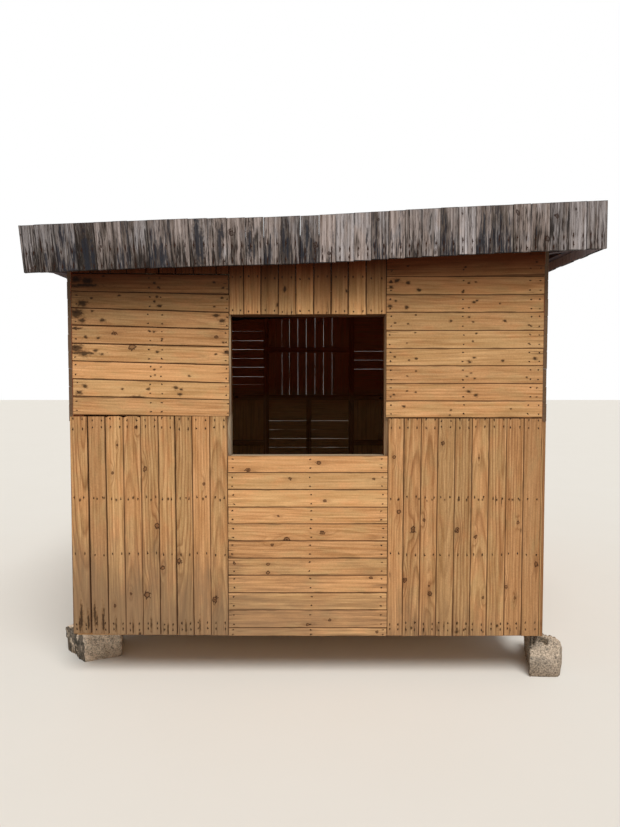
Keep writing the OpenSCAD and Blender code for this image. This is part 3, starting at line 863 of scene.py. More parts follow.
LOWER_STAINS = (
    (471, 947, 4), (581, 952, 5), (623, 942, 4), (649, 947, 4), (790, 947, 6), (831, 947, 6), (894, 947, 5),
    (915, 947, 4), (983, 942, -3), (1014, 942, -3), (1071, 947, 5), (1108, 947, 4), (716, 947, 4),
    (787, 287, 5), (787, 244, 9), (719, 271, -3), (682, 265, -3), (761, 255, -3), (824, 255, 6),
    (998, 276, 7), (925, 244, 5), (613, 255, -3), (545, 265, 6), (518, 255, -3), (1067, 255, -3),
    (1120, 239, -3), (989, 946, 4), (914, 655, 4), (1117, 788, -2), (854, 442, -2), (432, 549, -2),
    (-1190, 946, 5), (-1101, 952, 4), (-1064, 957, 4), (-1001, 946, 5), (-913, 957, 5), (-819, 946, 4),
    (-730, 952, 5), (-636, 957, 4), (-547, 952, 5), (-458, 946, 4), (-1111, 308, -4), (-1011, 276, -4),
    (-921, 265, -4), (-826, 287, -4), (-737, 255, -4), (-642, 265, -4), (-568, 276, -4), (-1201, 287, -5),
    (-1073, 351, -3), (-885, 233, 7), (-1192, 320, -8), (-1156, 300, -6), (-1122, 340, -6),
    (-1078, 300, -7),
)
UPPER_STAINS = (
    (-1191, 2092, 16), (-1135, 2082, 17), (-1052, 2107, 5), (-790, 2072, 6), (-770, 2051, 5),
    (-482, 2077, 5), (-436, 2046, 5), (-1162, 1969, 17), (-1115, 1995, 5), (-971, 2008, 5), (-776, 2000, 6),
    (-791, 1977, 5), (-766, 1954, 7), (-441, 1995, 5), (-482, 1951, 5), (-1194, 1918, 22),
    (-1164, 1880, 13), (-1111, 1928, 6), (-1060, 1880, 9), (-472, 1905, 10), (-442, 1877, 10),
    (-1200, 1841, 7), (-1149, 1795, 7), (-1082, 1790, 6), (-819, 1826, 4), (-793, 1821, 5), (-437, 1767, 5),
    (-752, 1785, 4), (-1198, 1738, 22), (-1156, 1710, 15), (-1099, 1725, 7), (-1063, 1707, 5),
    (-779, 1718, 7), (-474, 1707, 5), (-417, 1715, 12), (-793, 1627, 4), (-790, 1599, 4), (-614, 1594, 5),
    (-1154, 1542, 9), (-1185, 1508, 10), (-962, 1526, 5), (-827, 1526, 6), (-682, 1532, 9), (-656, 1524, 6),
    (-662, 1498, 8), (-117, 2041, 9), (-155, 1959, 7), (200, 2031, 5), (515, 2158, 5), (813, 2153, 5),
    (1177, 2179, 5), (428, 2077, 9), (459, 2084, 12), (429, 2051, 8), (516, 2072, 10), (573, 2036, 10),
    (799, 2026, 7), (830, 2072, 6), (866, 2077, 5), (1185, 2036, 9), (455, 1980, 5), (424, 1954, 8),
    (512, 1949, 9), (856, 1974, 8), (872, 1982, 6), (831, 1946, 5), (990, 1967, 4), (558, 1908, 5),
    (450, 1867, 5), (517, 1862, 5), (739, 1877, 7), (832, 1898, 5), (853, 1872, 5), (1017, 1877, 7),
    (1142, 1857, 5), (1182, 1903, 5), (556, 1818, 5), (513, 1764, 4), (871, 1813, 5), (854, 1774, 5),
    (1143, 1761, 5), (451, 1692, 5), (524, 1676, 5), (560, 1684, 6), (860, 1689, 6), (839, 1666, 8),
    (1010, 1671, 7), (1175, 1684, 8), (514, 1594, 4), (561, 1620, 4), (845, 1609, 5), (825, 1591, 5),
    (866, 1581, 5), (1135, 1588, 5), (447, 1498, 5), (515, 1516, 5), (561, 1511, 5), (836, 1513, 9),
    (873, 1495, 9), (500, 1436, 7), (744, 1417, 5), (739, 1391, 4), (1055, 1423, 4), (-1157, 1966, -7),
    (-1200, 1840, -4), (-1144, 1795, -5), (-1072, 1787, -4), (-1156, 1712, -7), (-1177, 1700, -6),
    (-885, 1486, -5), (-734, 1560, -4), (-803, 1841, -4), (-1145, 2061, -8), (775, 1892, -4),
    (887, 2020, -4), (1064, 1877, -4),
)

# Dark smears of the front fascia, in the same way
FASCIA_SMEARS = (
    (-1082, 2180, -17), (-1050, 2170, -12), (-1100, 2220, -6), (-541, 2270, -15), (-518, 2230, -10),
    (-430, 2240, -11), (-418, 2300, -6), (-282, 2250, -10), (-262, 2210, -6), (-118, 2270, -9),
    (-98, 2220, -7), (-2, 2280, -9), (16, 2230, -6), (-745, 2200, -6), (-870, 2180, -7), (-1280, 2160, -6),
    (290, 2270, -4), (560, 2280, -4), (860, 2300, -3), (1120, 2300, -4),
)


def front_upper(b):
    b.knot_places, b.blot_places, b.drawn = UPPER_KNOTS, UPPER_STAINS, (0.15, 0.55)
    columns = (-1.195, -0.818, -0.756, -0.418, 0.426, 0.807, 1.151, 1.195)
    left = [
        (1.3925, 1.384), (1.489, 1.468), (1.58, 1.558), (1.672, 1.649), (1.763, 1.745), (1.857, 1.834),
        (1.948, 1.921), (2.031, 2.013), (2.122, 2.116),
    ]
    lay_level(b, FRONT, -HALF_FRAME, -BAY_TOP, left, columns,
              tones=(-0.6, 0.1, 0.35, -0.3, -1.35, -1.35, -1.3, -0.8))
    top = joints(-HALF_FRAME, -BAY_TOP, (100, 93, 95, 96, 66, 87, 90, 115, 66))
    for s0, s1 in zip(top, top[1:]):
        z = [2.122 + (s + HALF_FRAME) / 0.808 * -0.006 for s in (s0, s1)]
        b.add(FRONT, False, (s0, s0), (s1, s1), (sum(z) / 2 + 0.001, FRONT.roof((s0 + s1) / 2)), (),
              tone=-0.3, cuts=(FRONT.along - UP * 0.008, FRONT.along + UP * RAKE))
    lay_upright(b, FRONT, -BAY_TOP, BAY_TOP, HEAD_Z + 0.005, None, (1.926, 2.1),
                widths=(76, 89, 90, 90, 92, 90, 89, 92, 104),
                tones=(-0.1, 0.8, -1.0, -0.2, 1.4, -0.5, -0.3, 2.2, 0.0))
    right = [1.3775, 1.465, 1.554, 1.646, 1.735, 1.828, 1.922, 2.012, 2.106]
    right = [(z, z + b.rng.uniform(-0.002, 0.002)) for z in right]
    b.fits = (0.2, 0.4, 0.6)
    lay_level(b, FRONT, BAY_TOP, HALF_FRAME, right, columns,
              tones=(-0.2, -0.5, -1.05, -0.35, -0.6, -1.2, -0.4, 2.1, 0.5), roof=True)


def front_lower(b):
    b.knot_places, b.blot_places, b.drawn = LOWER_KNOTS, LOWER_STAINS, (0.4, 1.0)
    lay_upright(b, FRONT, -HALF_FRAME - CORNER, -BAY_LOW, WALL_Z, 1.386, LOW_ROWS,
                widths=(96, 93, 91, 91, 90, 88.5, 88.5, 91, 91),
                tones=(-0.6, -1.5, 0.15, -0.5, -0.9, -0.3, -0.9, -0.3, -0.9),
                ears=(0.0, 0.0, 0.016, 0.022), fits=(2.0, 2.0, 0.7, None, None, 1.4, 1.1),
                lean=-0.004, rise=0.01)
    lines = [WALL_Z + 0.001, 0.266, 0.361, 0.453, 0.547, 0.638, 0.73, 0.819, 0.908, 1.0, 1.09, SILL_Z]
    b.drawn, b.fits = (0.15, 0.5), (0.5, 0.8, 1.0)
    lay_level(b, FRONT, -BAY_LOW, BAY_LOW, lines, (-0.390, 0.015, 0.390),
              tones=(3.4, 0.5, 1.2, 0.3, -0.5, -0.5, -0.2, 0.3, 0.85, 0.0, 0.4))
    b.drawn, b.fits = (0.35, 0.9), (0.3, 0.5, 0.7, 0.9)
    lay_upright(b, FRONT, BAY_LOW, HALF_FRAME, WALL_Z, 1.374, LOW_ROWS,
                widths=(82, 89, 87, 90.5, 88, 89, 92.5, 90, 95),
                tones=(-0.5, -1.0, -1.0, -1.4, -1.5, -0.7, -1.0, -1.3, -1.9), lean=0.004)


def back_upper(b):
    columns = (-1.19, -0.81, -0.425, 0.425, 0.81, 1.19)
    seen_right = [SIDE_SPLIT, 1.461, 1.549, 1.638, 1.729, 1.817, 1.908, 1.998, 2.09]
    seen_left = [SIDE_SPLIT, 1.394, 1.482, 1.562, 1.657, 1.745, 1.835, 1.923, 2.017, 2.1]
    lay_level(b, BACK, -HALF_FRAME, -BAY_X, seen_right, columns, roof=True,
              fits=(-0.1, 0.1, 0.2, 0.45, 0.1, 0.6, -0.5))
    lay_level(b, BACK, BAY_X, HALF_FRAME, seen_left, columns, roof=True,
              fits=(None, 0.1, 0.3, 0.35, 0.2, 0.3, 0.4, 0.6, 0.2))
    lay_upright(b, BACK, -BAY_X, BAY_X, SIDE_SPLIT, None, (1.4, 1.83, 2.12),
                widths=(91, 87, 87, 85, 88, 84, 85, 74, 66, 77),
                fits=(-0.1, 0.2, 0.35, 0.25, 0.2, 0.3, 0.3, 0.3, 0.3, 0.0))


def back_lower(b):
    rows = (0.252, 0.284, 0.9, 1.335, 1.355)
    for s0, s1 in ((-HALF_FRAME, -BAY_X), (BAY_X, HALF_FRAME)):
        lay_upright(b, BACK, s0, s1, WALL_Z, SIDE_SPLIT, rows)
    lines = [WALL_Z + 0.001] + [WALL_Z + 0.0898 * i for i in range(1, 12)] + [1.288, SIDE_SPLIT]
    lay_level(b, BACK, -BAY_X, BAY_X, lines, (-0.39, 0.0, 0.39),
              fits=(None, None, None, None, 0.7, -0.7, 0.75, 0.85, 0.6, 0.4, 0.8, -0.6, 0.3))


def side_bay(wall, i):
    """Both ends of a side wall's bay, counted from the front."""
    step = FRAME_Y / 2
    edges = [-WALL_Y, -step, 0.0, step, WALL_Y]
    a, b = edges[i:i + 2]
    return (a, b) if wall is RIGHT else (-b, -a)


def bay_columns(s0, s1):
    return (s0 + COLUMN_IN, (s0 + s1) / 2, s1 - COLUMN_IN)


def side_upper(b, wall, bays):
    for i in bays:
        s0, s1 = side_bay(wall, i)
        if i in (0, 3):
            ragged = 0.008 if wall is RIGHT and i == 0 else 0.002
            lay_level(b, wall, s0, s1, roof_lines(b.rng, wall, s0, s1), bay_columns(s0, s1), roof=True,
                      ragged=ragged)
        else:
            lay_upright(b, wall, s0, s1, SIDE_SPLIT, None, SIDE_TOP_ROWS)


def side_lower(b, wall, bays):
    for i in bays:
        s0, s1 = side_bay(wall, i)
        if i in (0, 3):
            if wall is LEFT and i == 0:
                s1 -= CORNER
            lay_upright(b, wall, s0, s1, WALL_Z, SIDE_SPLIT, SIDE_LOW_ROWS)
        else:
            lay_level(b, wall, s0, s1, mixed_joints(b.rng, WALL_Z, SIDE_SPLIT), bay_columns(s0, s1))


def right_upper(b):
    side_upper(b, RIGHT, (0, 1))
    front, rear = DOOR_POSTS
    lay_upright(b, RIGHT, 0.0, front, SIDE_SPLIT, None, SIDE_TOP_ROWS)
    lay_upright(b, RIGHT, rear, WALL_Y, SIDE_SPLIT, None, (1.42, 1.83, 2.13), widths=(1,))
    lay_level(b, RIGHT, front, rear, [DOOR_TOP + 0.005], DOOR_COLUMNS, roof=True)


def right_lower(b):
    side_lower(b, RIGHT, (0, 1))
    front, rear = DOOR_POSTS
    lay_level(b, RIGHT, 0.0, front, mixed_joints(b.rng, WALL_Z, SIDE_SPLIT),
              (COLUMN_IN, 0.38, front - COLUMN_IN))
    lay_upright(b, RIGHT, rear, WALL_Y, WALL_Z, SIDE_SPLIT, SIDE_LOW_ROWS, widths=(1,))
    lay_level(b, RIGHT, front, rear, [WALL_Z, DECK_Z], DOOR_COLUMNS)


WALL_PIECES = {
    "front_upper": front_upper, "front_lower": front_lower, "back_upper": back_upper,
    "back_lower": back_lower, "left_upper": lambda b: side_upper(b, LEFT, (0, 1, 2, 3)),
    "left_lower": lambda b: side_lower(b, LEFT, (0, 1, 2, 3)), "right_upper": right_upper,
    "right_lower": right_lower,
}

# Fascia boards of the front from left to right: width in millimetres and how clean the wood is
FRONT_FASCIA = (
    (23, -0.7), (64, -0.8), (95, -0.9), (100, -1.2), (95, -3.8), (91, -0.75), (73, -0.8), (93, -0.6),
    (110, -0.9), (91, 0.0), (92, -0.4), (93, 0.4), (91, 0.75), (88, 0.3), (88, 0.0), (90, -1.1),
    (93, -0.8), (83, 1.2), (88, 2.5), (85, 1.3), (85, -0.5), (82, 0.8), (81, -0.7), (90, 0.8),
    (86, -1.1), (88, 2.0), (93, -0.9), (88, -1.1), (88, 0.4), (92, 0.6), (93, -0.7), (87, 1.6),
    (101, 0.75),
)
OPEN_JOINTS = (13, 14, 16)
FASCIA_GAP = 0.0008
NARROW = 0.03


def fascia_lean(x):
    """How far a fascia board leans at x, more and more towards the low end."""
    return LEAN * min(1.0, max(0.0, (-0.1 - x) / 1.1))


def fascia_rows(low, near_pair):
    return (low + 0.022, low + (0.062 if near_pair else 0.1))


def front_fascia(b):
    b.blot_places = FASCIA_SMEARS
    face = Wall((0, -ROOF_Y, 0), (1, 0, 0), RAKE)
    lines = joints(ROOF_LEFT, ROOF_RIGHT, [w for w, _ in FRONT_FASCIA])
    slope = face.along + UP * RAKE
    for i, (a, c) in enumerate(zip(lines, lines[1:])):
        ends = []
        for x, edge in ((a, i), (c, i + 1)):
            lean = fascia_lean(x) + b.rng.uniform(-0.003, 0.003)
            ends.append((x + lean / 2, x - lean / 2))
            if edge in (0, len(FRONT_FASCIA)):
                ends[-1] = (x if edge else x + LEAN, x)
        x = (a + c) / 2
        step = b.rng.uniform(0.0, 0.002)
        open_side = 0.0016 if i in OPEN_JOINTS else 0.0
        ends[0] = tuple(p + open_side for p in ends[0])
        low = eave_z(x) - sag(x)
        rows = fascia_rows(low, x > MIDDLE_X) if c - a > NARROW else ()
        b.add(face, False, ends[0], ends[1], (low + step, low + FASCIA_H - 0.001 - step), rows,
              tone=FRONT_FASCIA[i][1], gap=FASCIA_GAP, cuts=(slope, slope), sink=0.001)


def back_fascia(b):
    face = Wall((0, ROOF_Y, 0), (-1, 0, 0), -RAKE)
    slope = face.along - UP * RAKE
    lines = mixed_joints(b.rng, -ROOF_RIGHT, -ROOF_LEFT, FASCIA_BOARD)
    for i, (a, c) in enumerate(zip(lines, lines[1:])):
        x = -(a + c) / 2
        lean = fascia_lean(x)
        first = (a - lean / 2, a + lean / 2) if i else (a, a)
        last = (c - lean / 2, c + lean / 2) if i < len(lines) - 2 else (c - LEAN, c)
        step = b.rng.uniform(0.0, 0.003)
        b.add(face, False, first, last, (eave_z(x) + step, eave_z(x) + FASCIA_H - 0.001 - step),
              fascia_rows(eave_z(x), False), gap=FASCIA_GAP, cuts=(slope, slope), sink=0.001)


def side_fascia(b, node, x, way):
    face = Wall((x, 0, 0), (0, way, 0))
    depth = far("right_fascia").y
    z0, z1 = near(node).z, far(node).z
    lines = mixed_joints(b.rng, -depth, depth, FASCIA_BOARD)
    for a, c in zip(lines, lines[1:]):
        step = b.rng.uniform(0.0, 0.004)
        b.add(face, False, (a, a), (c, c), (z0 + step, z1 - 0.002 - step), fascia_rows(z0, way > 0),
              gap=FASCIA_GAP, sink=0.001)


FASCIA_PIECES = {
    "front": front_fascia, "back": back_fascia,
    "left": lambda b: side_fascia(b, "left_fascia", ROOF_LEFT, -1),
    "right": lambda b: side_fascia(b, "right_fascia", ROOF_RIGHT, 1),
}


def lean_left_fascia(obj, heads):
    """Leans the low end's boards outward at the top, as its rail is cut."""
    pivot = Vector((ROOF_LEFT, 0, far("left_fascia").z))
    angle = math.atan(LEAN / FASCIA_H)
    turn = Matrix.Translation(pivot) @ Matrix.Rotation(-angle, 4, "Y") @ Matrix.Translation(-pivot)
    obj.data.transform(turn)
    return [(turn @ h[0], tuple((turn.to_3x3() @ Euler(h[1]).to_matrix()).to_euler()), h[2]) for h in heads]


# ---------------------------------------------------------------- blocks

# Size of the even facets, depth of the worn skin, depth of the broken edges, and depth and fineness of
# the dents, in metres
VOXEL = 0.0085
SKIN = 0.005
CHIP = 0.034
DENTS = ((0.009, 7), (0.006, 31), (0.0045, 80))


def rough_block(name, node, material, seed):
    """A block with broken corners and a coarse skin, a little smaller than its plain solid."""
    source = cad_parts[node]
    mesh = source.data.copy()
    mesh.name = name
    mesh.transform(source.matrix_world)
    obj = stand(name, mesh)
    bm = bmesh.new()
    bm.from_mesh(mesh)
    bmesh.ops.remove_doubles(bm, verts=bm.verts, dist=0.0005)
    bm.to_mesh(mesh)
    bm.free()
    remesh = obj.modifiers.new("Even", "REMESH")
    remesh.mode = "VOXEL"
    remesh.voxel_size = VOXEL
    graph = bpy.context.evaluated_depsgraph_get()
    even = bpy.data.meshes.new_from_object(obj.evaluated_get(graph), depsgraph=graph)
    obj.modifiers.clear()
    low, high = near(node), far(node)
    bm = bmesh.new()
    bm.from_mesh(even)
    bmesh.ops.smooth_vert(bm, verts=bm.verts, factor=0.5, use_axis_x=True, use_axis_y=True, use_axis_z=True)
    bm.normal_update()
    for vert in bm.verts:
        spot = vert.co + Vector((seed * 3.1, 0, 0))
        chip = max(0.0, noise.noise(spot * 14) - 0.12) * CHIP
        dent = sum((deep * noise.noise(spot * fine) for deep, fine in DENTS), SKIN)
        flat = abs(vert.normal.z) > 0.9
        edge = sum(abs(c) > 0.25 for c in vert.normal) > 1
        vert.co -= vert.normal * max(0.0, dent + (chip if edge else chip * 0.3)) * (0.25 if flat else 1.0)
        outside = {"block_front_right": vert.co.x - SIDE_RIGHT, "block_front_left": SIDE_LEFT - vert.co.x}
        if outside.get(node, -1) > -0.01:
            broken = 0.3 * (vert.co.y - low.y) + 0.25 * outside[node] + 0.02 * noise.noise(spot * 20)
            vert.co.z = min(vert.co.z, high.z - max(0.0, broken))
        if vert.normal.z < -0.7:
            vert.co.z = low.z
        vert.co.z = min(max(vert.co.z, low.z), high.z)
    bm.to_mesh(even)
    bm.free()
    even.materials.clear()
    even.materials.append(material)
    even.shade_smooth()
    obj.data = even
    return obj


# ---------------------------------------------------------------- settings

def label(key):
    return key.replace("_", " ").capitalize()


def colour_setting(key, row):
    code, _, what = row.partition(" ")
    return bpy.props.FloatVectorProperty(
        name=label(key), description=what, subtype="COLOR", size=3, min=0, max=1, default=linear(code))


def number_setting(key, what, default, low, high):
    return bpy.props.FloatProperty(name=label(key), description=what, default=default, min=low, max=high)


# What each setting says, its value, and its lowest and highest value. Lengths are in metres, angles in
# radians
SIZES = {
    "edge_wander": ("How far a sawn edge strays from straight", 0.003, 0, 0.01),
    "bow": ("How far a board bends out of the wall", 0.0022, 0, 0.01),
    "edge_ease": ("Loss of thickness along a worn edge", 0.0032, 0, 0.01),
    "joint": ("Gap between two wall boards", 0.003, 0, 0.01),
    "nail": ("Radius of a nail's head", 0.0038, 0.001, 0.01),
    "wave_pitch": ("Distance from one crest of the roof sheet to the next", 0.076, 0.04, 0.15),
    "wave_depth": ("Depth of the roof sheet's waves", 0.018, 0.005, 0.04),
}
STAGE = {
    "sky": ("Strength of the even light from all sides", 0.42, 0, 3),
    "sun": ("Strength of the soft sun", 2.7, 0, 10),
    "sun_height": ("Height of the sun above the horizon", math.radians(60), 0, 1.57),
    "sun_turn": ("Turn of the sun from the front, towards the right", math.radians(14), -3.14, 3.14),
    "sun_size": ("Width of the sun in the sky", math.radians(35), 0, 3.14),
    "eye_height": ("Height of the camera", 1.6195, 0, 10),
    "eye_side": ("Distance of the camera to the right of the building's middle", 0.012, -10, 10),
    "eye_distance": ("Distance of the camera from the building's middle", 4.742, 0, 50),
    "eye_dip": ("How far the camera looks down", math.radians(2.6), -1, 1),
    "eye_shift": ("Upright shift of the lens", -0.0173, -1, 1),
    "lens": ("Focal length in millimetres", 27.03, 10, 200),
}

# Display colour of each finish, and what it colours
COLOURS = {
    "pine": "e4ba8a Palest wood of the wall boards",
    "pine_deep": "be9364 Darker streaks of the wall boards",
    "pine_worn": "bb9b70 Dull patches of the wall boards",
    "ring": "85572e Dark wood of the year rings",
    "warm": "ffd8b4 Tint of the warmer boards",
    "cool": "f0dfc0 Tint of the greener boards",
    "knot": "5e3216 Wood of the knots",
    "stain": "2c170c Dark rims, splits and nail marks",
    "blot": "23170d Heart of the stains and old nail holes",
    "end": "5c4a3a End grain of the boards at the corners",
    "halo": "6d4a2a Wood round the stains",
    "edge": "4c2812 Dirt along the boards' edges",
    # Painted shade: the wood under the eave is darkened to stand for the eave's shadow
    "soot": "5e3818 Darkened wood under the eave",
    "splash": "82694f Greyed wood near the ground",
    # Painted shade on the inner faces of the upper boards, and painted light on those of the lower boards
    "inside": "d46a42 Inner faces of the upper boards",
    "inside_low": "ffd294 Inner faces of the lower boards",
    "silver": "b7aeac Palest wood of the fascia",
    "silver_deep": "786d67 Darker streaks of the fascia",
    "silver_ring": "4f4640 Rings of the fascia boards",
    "silver_worn": "948b88 Dull patches of the fascia",
    "silver_warm": "f6e6da Tint of the warmer fascia boards",
    "silver_cool": "dfe4ea Tint of the cooler fascia boards",
    "grey_knot": "463a33 Knots of the fascia boards",
    # Inner faces of the fascia boards: partly their own paler wood, partly painted light
    "grey_inside": "beb4bc Inner faces of the fascia boards",
    "silt": "4a4038 Brown clouds of the fascia",
    "bleached": "c6bab0 Pale fibres of the fascia",
    "deck": "fbe6c2 Palest wood of the floor boards",
    "deck_deep": "ecd0a4 Darker streaks of the floor boards",
    # Painted shade on the deeper part of the window timbers' sides
    "jamb_side": "b88a60 Tint of the window timbers' sides",
    "jamb_right": "f0dcc8 Tint of the timber at the window's right edge",
    "jamb": "ccb38e Bleached timber round the window",
    "jamb_deep": "7f7263 Greyer streaks of the timber round the window",
    # Painted shade on the frame's timbers above about 1.3 m
    "smoke": "e89a8c Tint of the frame's upper timbers",
    "shaded": "4a4650 Roof timbers under the edge of the roof",
    "shaded_deep": "2c2a33 Dark streaks of the roof timbers",
    # Painted shade: the timber over the window is darkened to stand for the shade under the head
    "dark": "4b2d1a Sooty timber over the window",
    "dark_deep": "2a180e Dark streaks of the timber over the window",
    "mould": "1d1815 Black streaks of the fascia",
    "mould_blue": "1f232c Bluish streaks of the fascia",
    "frame_pale": "dcb082 Palest wood of the frame",
    "frame_deep": "b5834f Darker streaks of the frame",
    "zinc": "aeb4ba Bright zinc of the roof sheets",
    "zinc_dull": "858c93 Dull zinc of the roof sheets",
    "dust": "9a8c7a Dust on the roof sheets",
    "rust": "36200f Rust of the iron and the roof sheets",
    "iron": "2b2725 Bare iron",
    "block": "b59f88 Skin of the sandcrete blocks",
    "block_dark": "968775 Damp patches of the blocks",
    "sand": "c3ab90 Sand grains of the blocks",
    "pebble": "c9b9a2 Small stones in the blocks",
    "lichen": "4a473c Dark growth on the blocks",
    "pore": "4f473e Pores of the blocks",
    "soil": "8a7055 Soil at the foot of the blocks",
}


class KioskSizes(bpy.types.PropertyGroup):
    """Sizes of the boards, nails and roof sheets."""
    __annotations__ = {key: number_setting(key, *row) for key, row in SIZES.items()}
    sheets: bpy.props.IntProperty(
        name="Roof sheets", description="Number of overlapping sheets", default=4, min=1, max=8)


class KioskColours(bpy.types.PropertyGroup):
    """Colours of the finishes."""
    __annotations__ = {key: colour_setting(key, row) for key, row in COLOURS.items()}


class KioskStage(bpy.types.PropertyGroup):
    """Light, floor and camera."""
    __annotations__ = {key: number_setting(key, *row) for key, row in STAGE.items()}
    floor: colour_setting("floor", "d9d4cb Pale floor")


def settings():
    scene = bpy.context.scene
    return scene.kiosk_sizes, scene.kiosk_colours, scene.kiosk_stage


def finish(name):
    """A finish by name, made when it is first asked for."""
    found = bpy.data.materials.get(name)
    if found:
        return found
    c = settings()[1]
    kind, _, axis = name.partition(" along ")
    if axis:
        pale, deep = {
            "Timber": (c.frame_pale, c.frame_deep), "Surround": (c.jamb, c.jamb_deep),
            "Shaded timber": (c.shaded, c.shaded_deep), "Dark timber": (c.dark, c.dark_deep),
        }[kind]
        return timber_finish(name, "XYZ".index(axis), pale, deep, c)
    looks = board_looks(c)
    if name in looks:
        return board_finish(name, SimpleNamespace(**looks[name]))
    return {"Roof sheet": sheet_finish, "Iron": iron_finish, "Sandcrete": block_finish}[name](name, c)


def settle(obj, node):
    """Hands a finished piece to the frame."""
    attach(obj, "root")
    if node:
        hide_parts(node)


# ---------------------------------------------------------------- operators

class KIOSK_OT_walls(bpy.types.Operator):
    """Board the four walls and the door, and nail the boards"""
    bl_idname = "kiosk.walls"
    bl_label = "Wall boards"

    def execute(self, context):
        gap = settings()[0].joint
        heads = {}
        for seed, (name, lay) in enumerate(WALL_PIECES.items(), 40):
            fits = (0.4, 0.7, 0.9, 1.2, 1.6) if name.startswith("front") else (0.1, 0.2)
            boards = Boards(seed, gap=gap, stains=2.0 if name.endswith("upper") else 0.6, fits=fits)
            lay(boards)
            settle(boards.make(name + "_planks", "Wall boards"), name + "_boards")
            heads.setdefault(name.split("_")[0], []).extend(boards.nails)

        boards = Boards(66, 0.0205, gap, 0.6, (0.5, 1.0, 1.5))
        rows = [-FRAME_Y + NAIL_IN + i * (FRAME_Y - NAIL_IN) / 4 for i in range(0, 9, 2)]
        lay_upright(boards, DECK, -HALF_FRAME, HALF_FRAME, -FRAME_Y, FRAME_Y, rows)
        settle(boards.make("floor_planks", "Floor boards"), "floor_deck")
        make_nails("floor_nails", boards.nails)

        boards = Boards(71, gap=gap)
        low, high = near("door_leaf"), far("door_leaf")
        lay_upright(boards, RIGHT, low.y, high.y, low.z, high.z, DOOR_ROWS)
        settle(boards.make("door_planks", "Wall boards"), "door_leaf")
        heads["right"].extend(boards.nails)
        for side, points in heads.items():
            make_nails(side + "_nails", points)
        return {"FINISHED"}


class KIOSK_OT_fascia(bpy.types.Operator):
    """Board the fascia round the roof"""
    bl_idname = "kiosk.fascia"
    bl_label = "Fascia boards"

    def execute(self, context):
        heads = []
        for seed, (side, lay) in enumerate(FASCIA_PIECES.items(), 90):
            boards = Boards(seed, 0.0175, FASCIA_GAP)
            lay(boards)
            piece = boards.make(side + "_fascia_planks", "Fascia boards")
            heads += lean_left_fascia(piece, boards.nails) if side == "left" else boards.nails
            settle(piece, side + "_fascia")
        make_nails("fascia_nails", heads)
        return {"FINISHED"}


# Thickness of a roof sheet, how much higher every other sheet lies, the waves that two sheets share at
# least, the radius of a roof nail's cap, and how far it stands off the crest
SHEET = 0.0006
SHEET_OVER = 0.0013
LAP = 2
CAP = 0.011
CAP_OFF = 0.003


class KIOSK_OT_roof(bpy.types.Operator):
    """Lay the overlapping corrugated sheets and their nails"""
    bl_idname = "kiosk.roof"
    bl_label = "Roof sheets"

    def execute(self, context):
        sizes = settings()[0]
        pitch, count = sizes.wave_pitch, sizes.sheets
        low, high = near("roof_sheet"), far("roof_sheet")
        total = round((high.y - low.y) / pitch)
        waves = math.ceil((total + LAP * (count - 1)) / count)
        stride = (total - waves) / max(1, count - 1)
        length = high.x - low.x
        points = []
        for i in range(count):
            y = low.y + i * stride * pitch + waves * pitch / 2
            lift = SHEET_OVER * (i % 2) + SHEET
            points.append(((low.x + high.x) / 2, y, low.z + length / 2 * RAKE + lift))
        sheets = grow("roof_sheets", point_mesh("roof_sheets", points, {}), sheet_tree(), {
            "Length": length - 0.004, "Waves": waves, "Pitch": pitch, "Depth": sizes.wave_depth,
            "Rake": RAKE, "Phase": low.y, "Material": finish("Roof sheet"),
        })
        sheets.data.shade_smooth()
        shell = sheets.modifiers.new("Thickness", "SOLIDIFY")
        shell.thickness = SHEET
        shell.offset = 1.0
        settle(sheets, "roof_sheet")

        heads = []
        for s in (-HALF_FRAME + NAIL_IN, POST_X - NAIL_IN, -POST_X + NAIL_IN, HALF_FRAME - NAIL_IN):
            x = s + MIDDLE_X
            z = low.z + (x - low.x) * RAKE + sizes.wave_depth + CAP_OFF
            for i in range(1, total, 3):
                heads.append((Vector((x, low.y + (i + 0.5) * pitch, z)), (0.0, 0.0, 0.0), 1.0))
        make_nails("roof_nails", heads, CAP)
        return {"FINISHED"}


class KIOSK_OT_blocks(bpy.types.Operator):
    """Shape the four rough blocks"""
    bl_idname = "kiosk.blocks"
    bl_label = "Blocks"

    def execute(self, context):
        for seed, corner in enumerate(("front_left", "front_right", "back_left", "back_right")):
            block = rough_block("rough_block_" + corner, "block_" + corner, finish("Sandcrete"), seed)
            settle(block, "block_" + corner)
        return {"FINISHED"}


DRESSED = {
    "Timber along X": ("floor_joists", "front_rails", "back_rails"),
    "Surround along X": ("window_sill",),
    "Surround along Z": ("front_studs",),
    "Timber along Y": ("floor_bearers", "left_rails", "right_rails", "left_plate", "right_plate",
                       "door_ledges", "roof_purlins"),
    "Shaded timber along Y": ("verge_rails",),
    "Shaded timber along X": ("eave_rails", "front_plate", "back_plate", "roof_beam"),
    # Painted shade: the window head gets dark timber to stand for the shade over the window
    "Dark timber along X": ("window_head",),
    "Timber along Z": ("corner_posts", "back_studs", "left_studs", "right_studs"),
    "Iron": ("door_hinges", "door_hasp"),
}


class KIOSK_OT_timbers(bpy.types.Operator):
    """Give the bare timbers and ironwork their finishes"""
    bl_idname = "kiosk.timbers"
    bl_label = "Timbers and ironwork"

    def execute(self, context):
        for name, nodes in DRESSED.items():
            for node in nodes:
                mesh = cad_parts[node].data
                mesh.materials.clear()
                mesh.materials.append(finish(name))
        return {"FINISHED"}


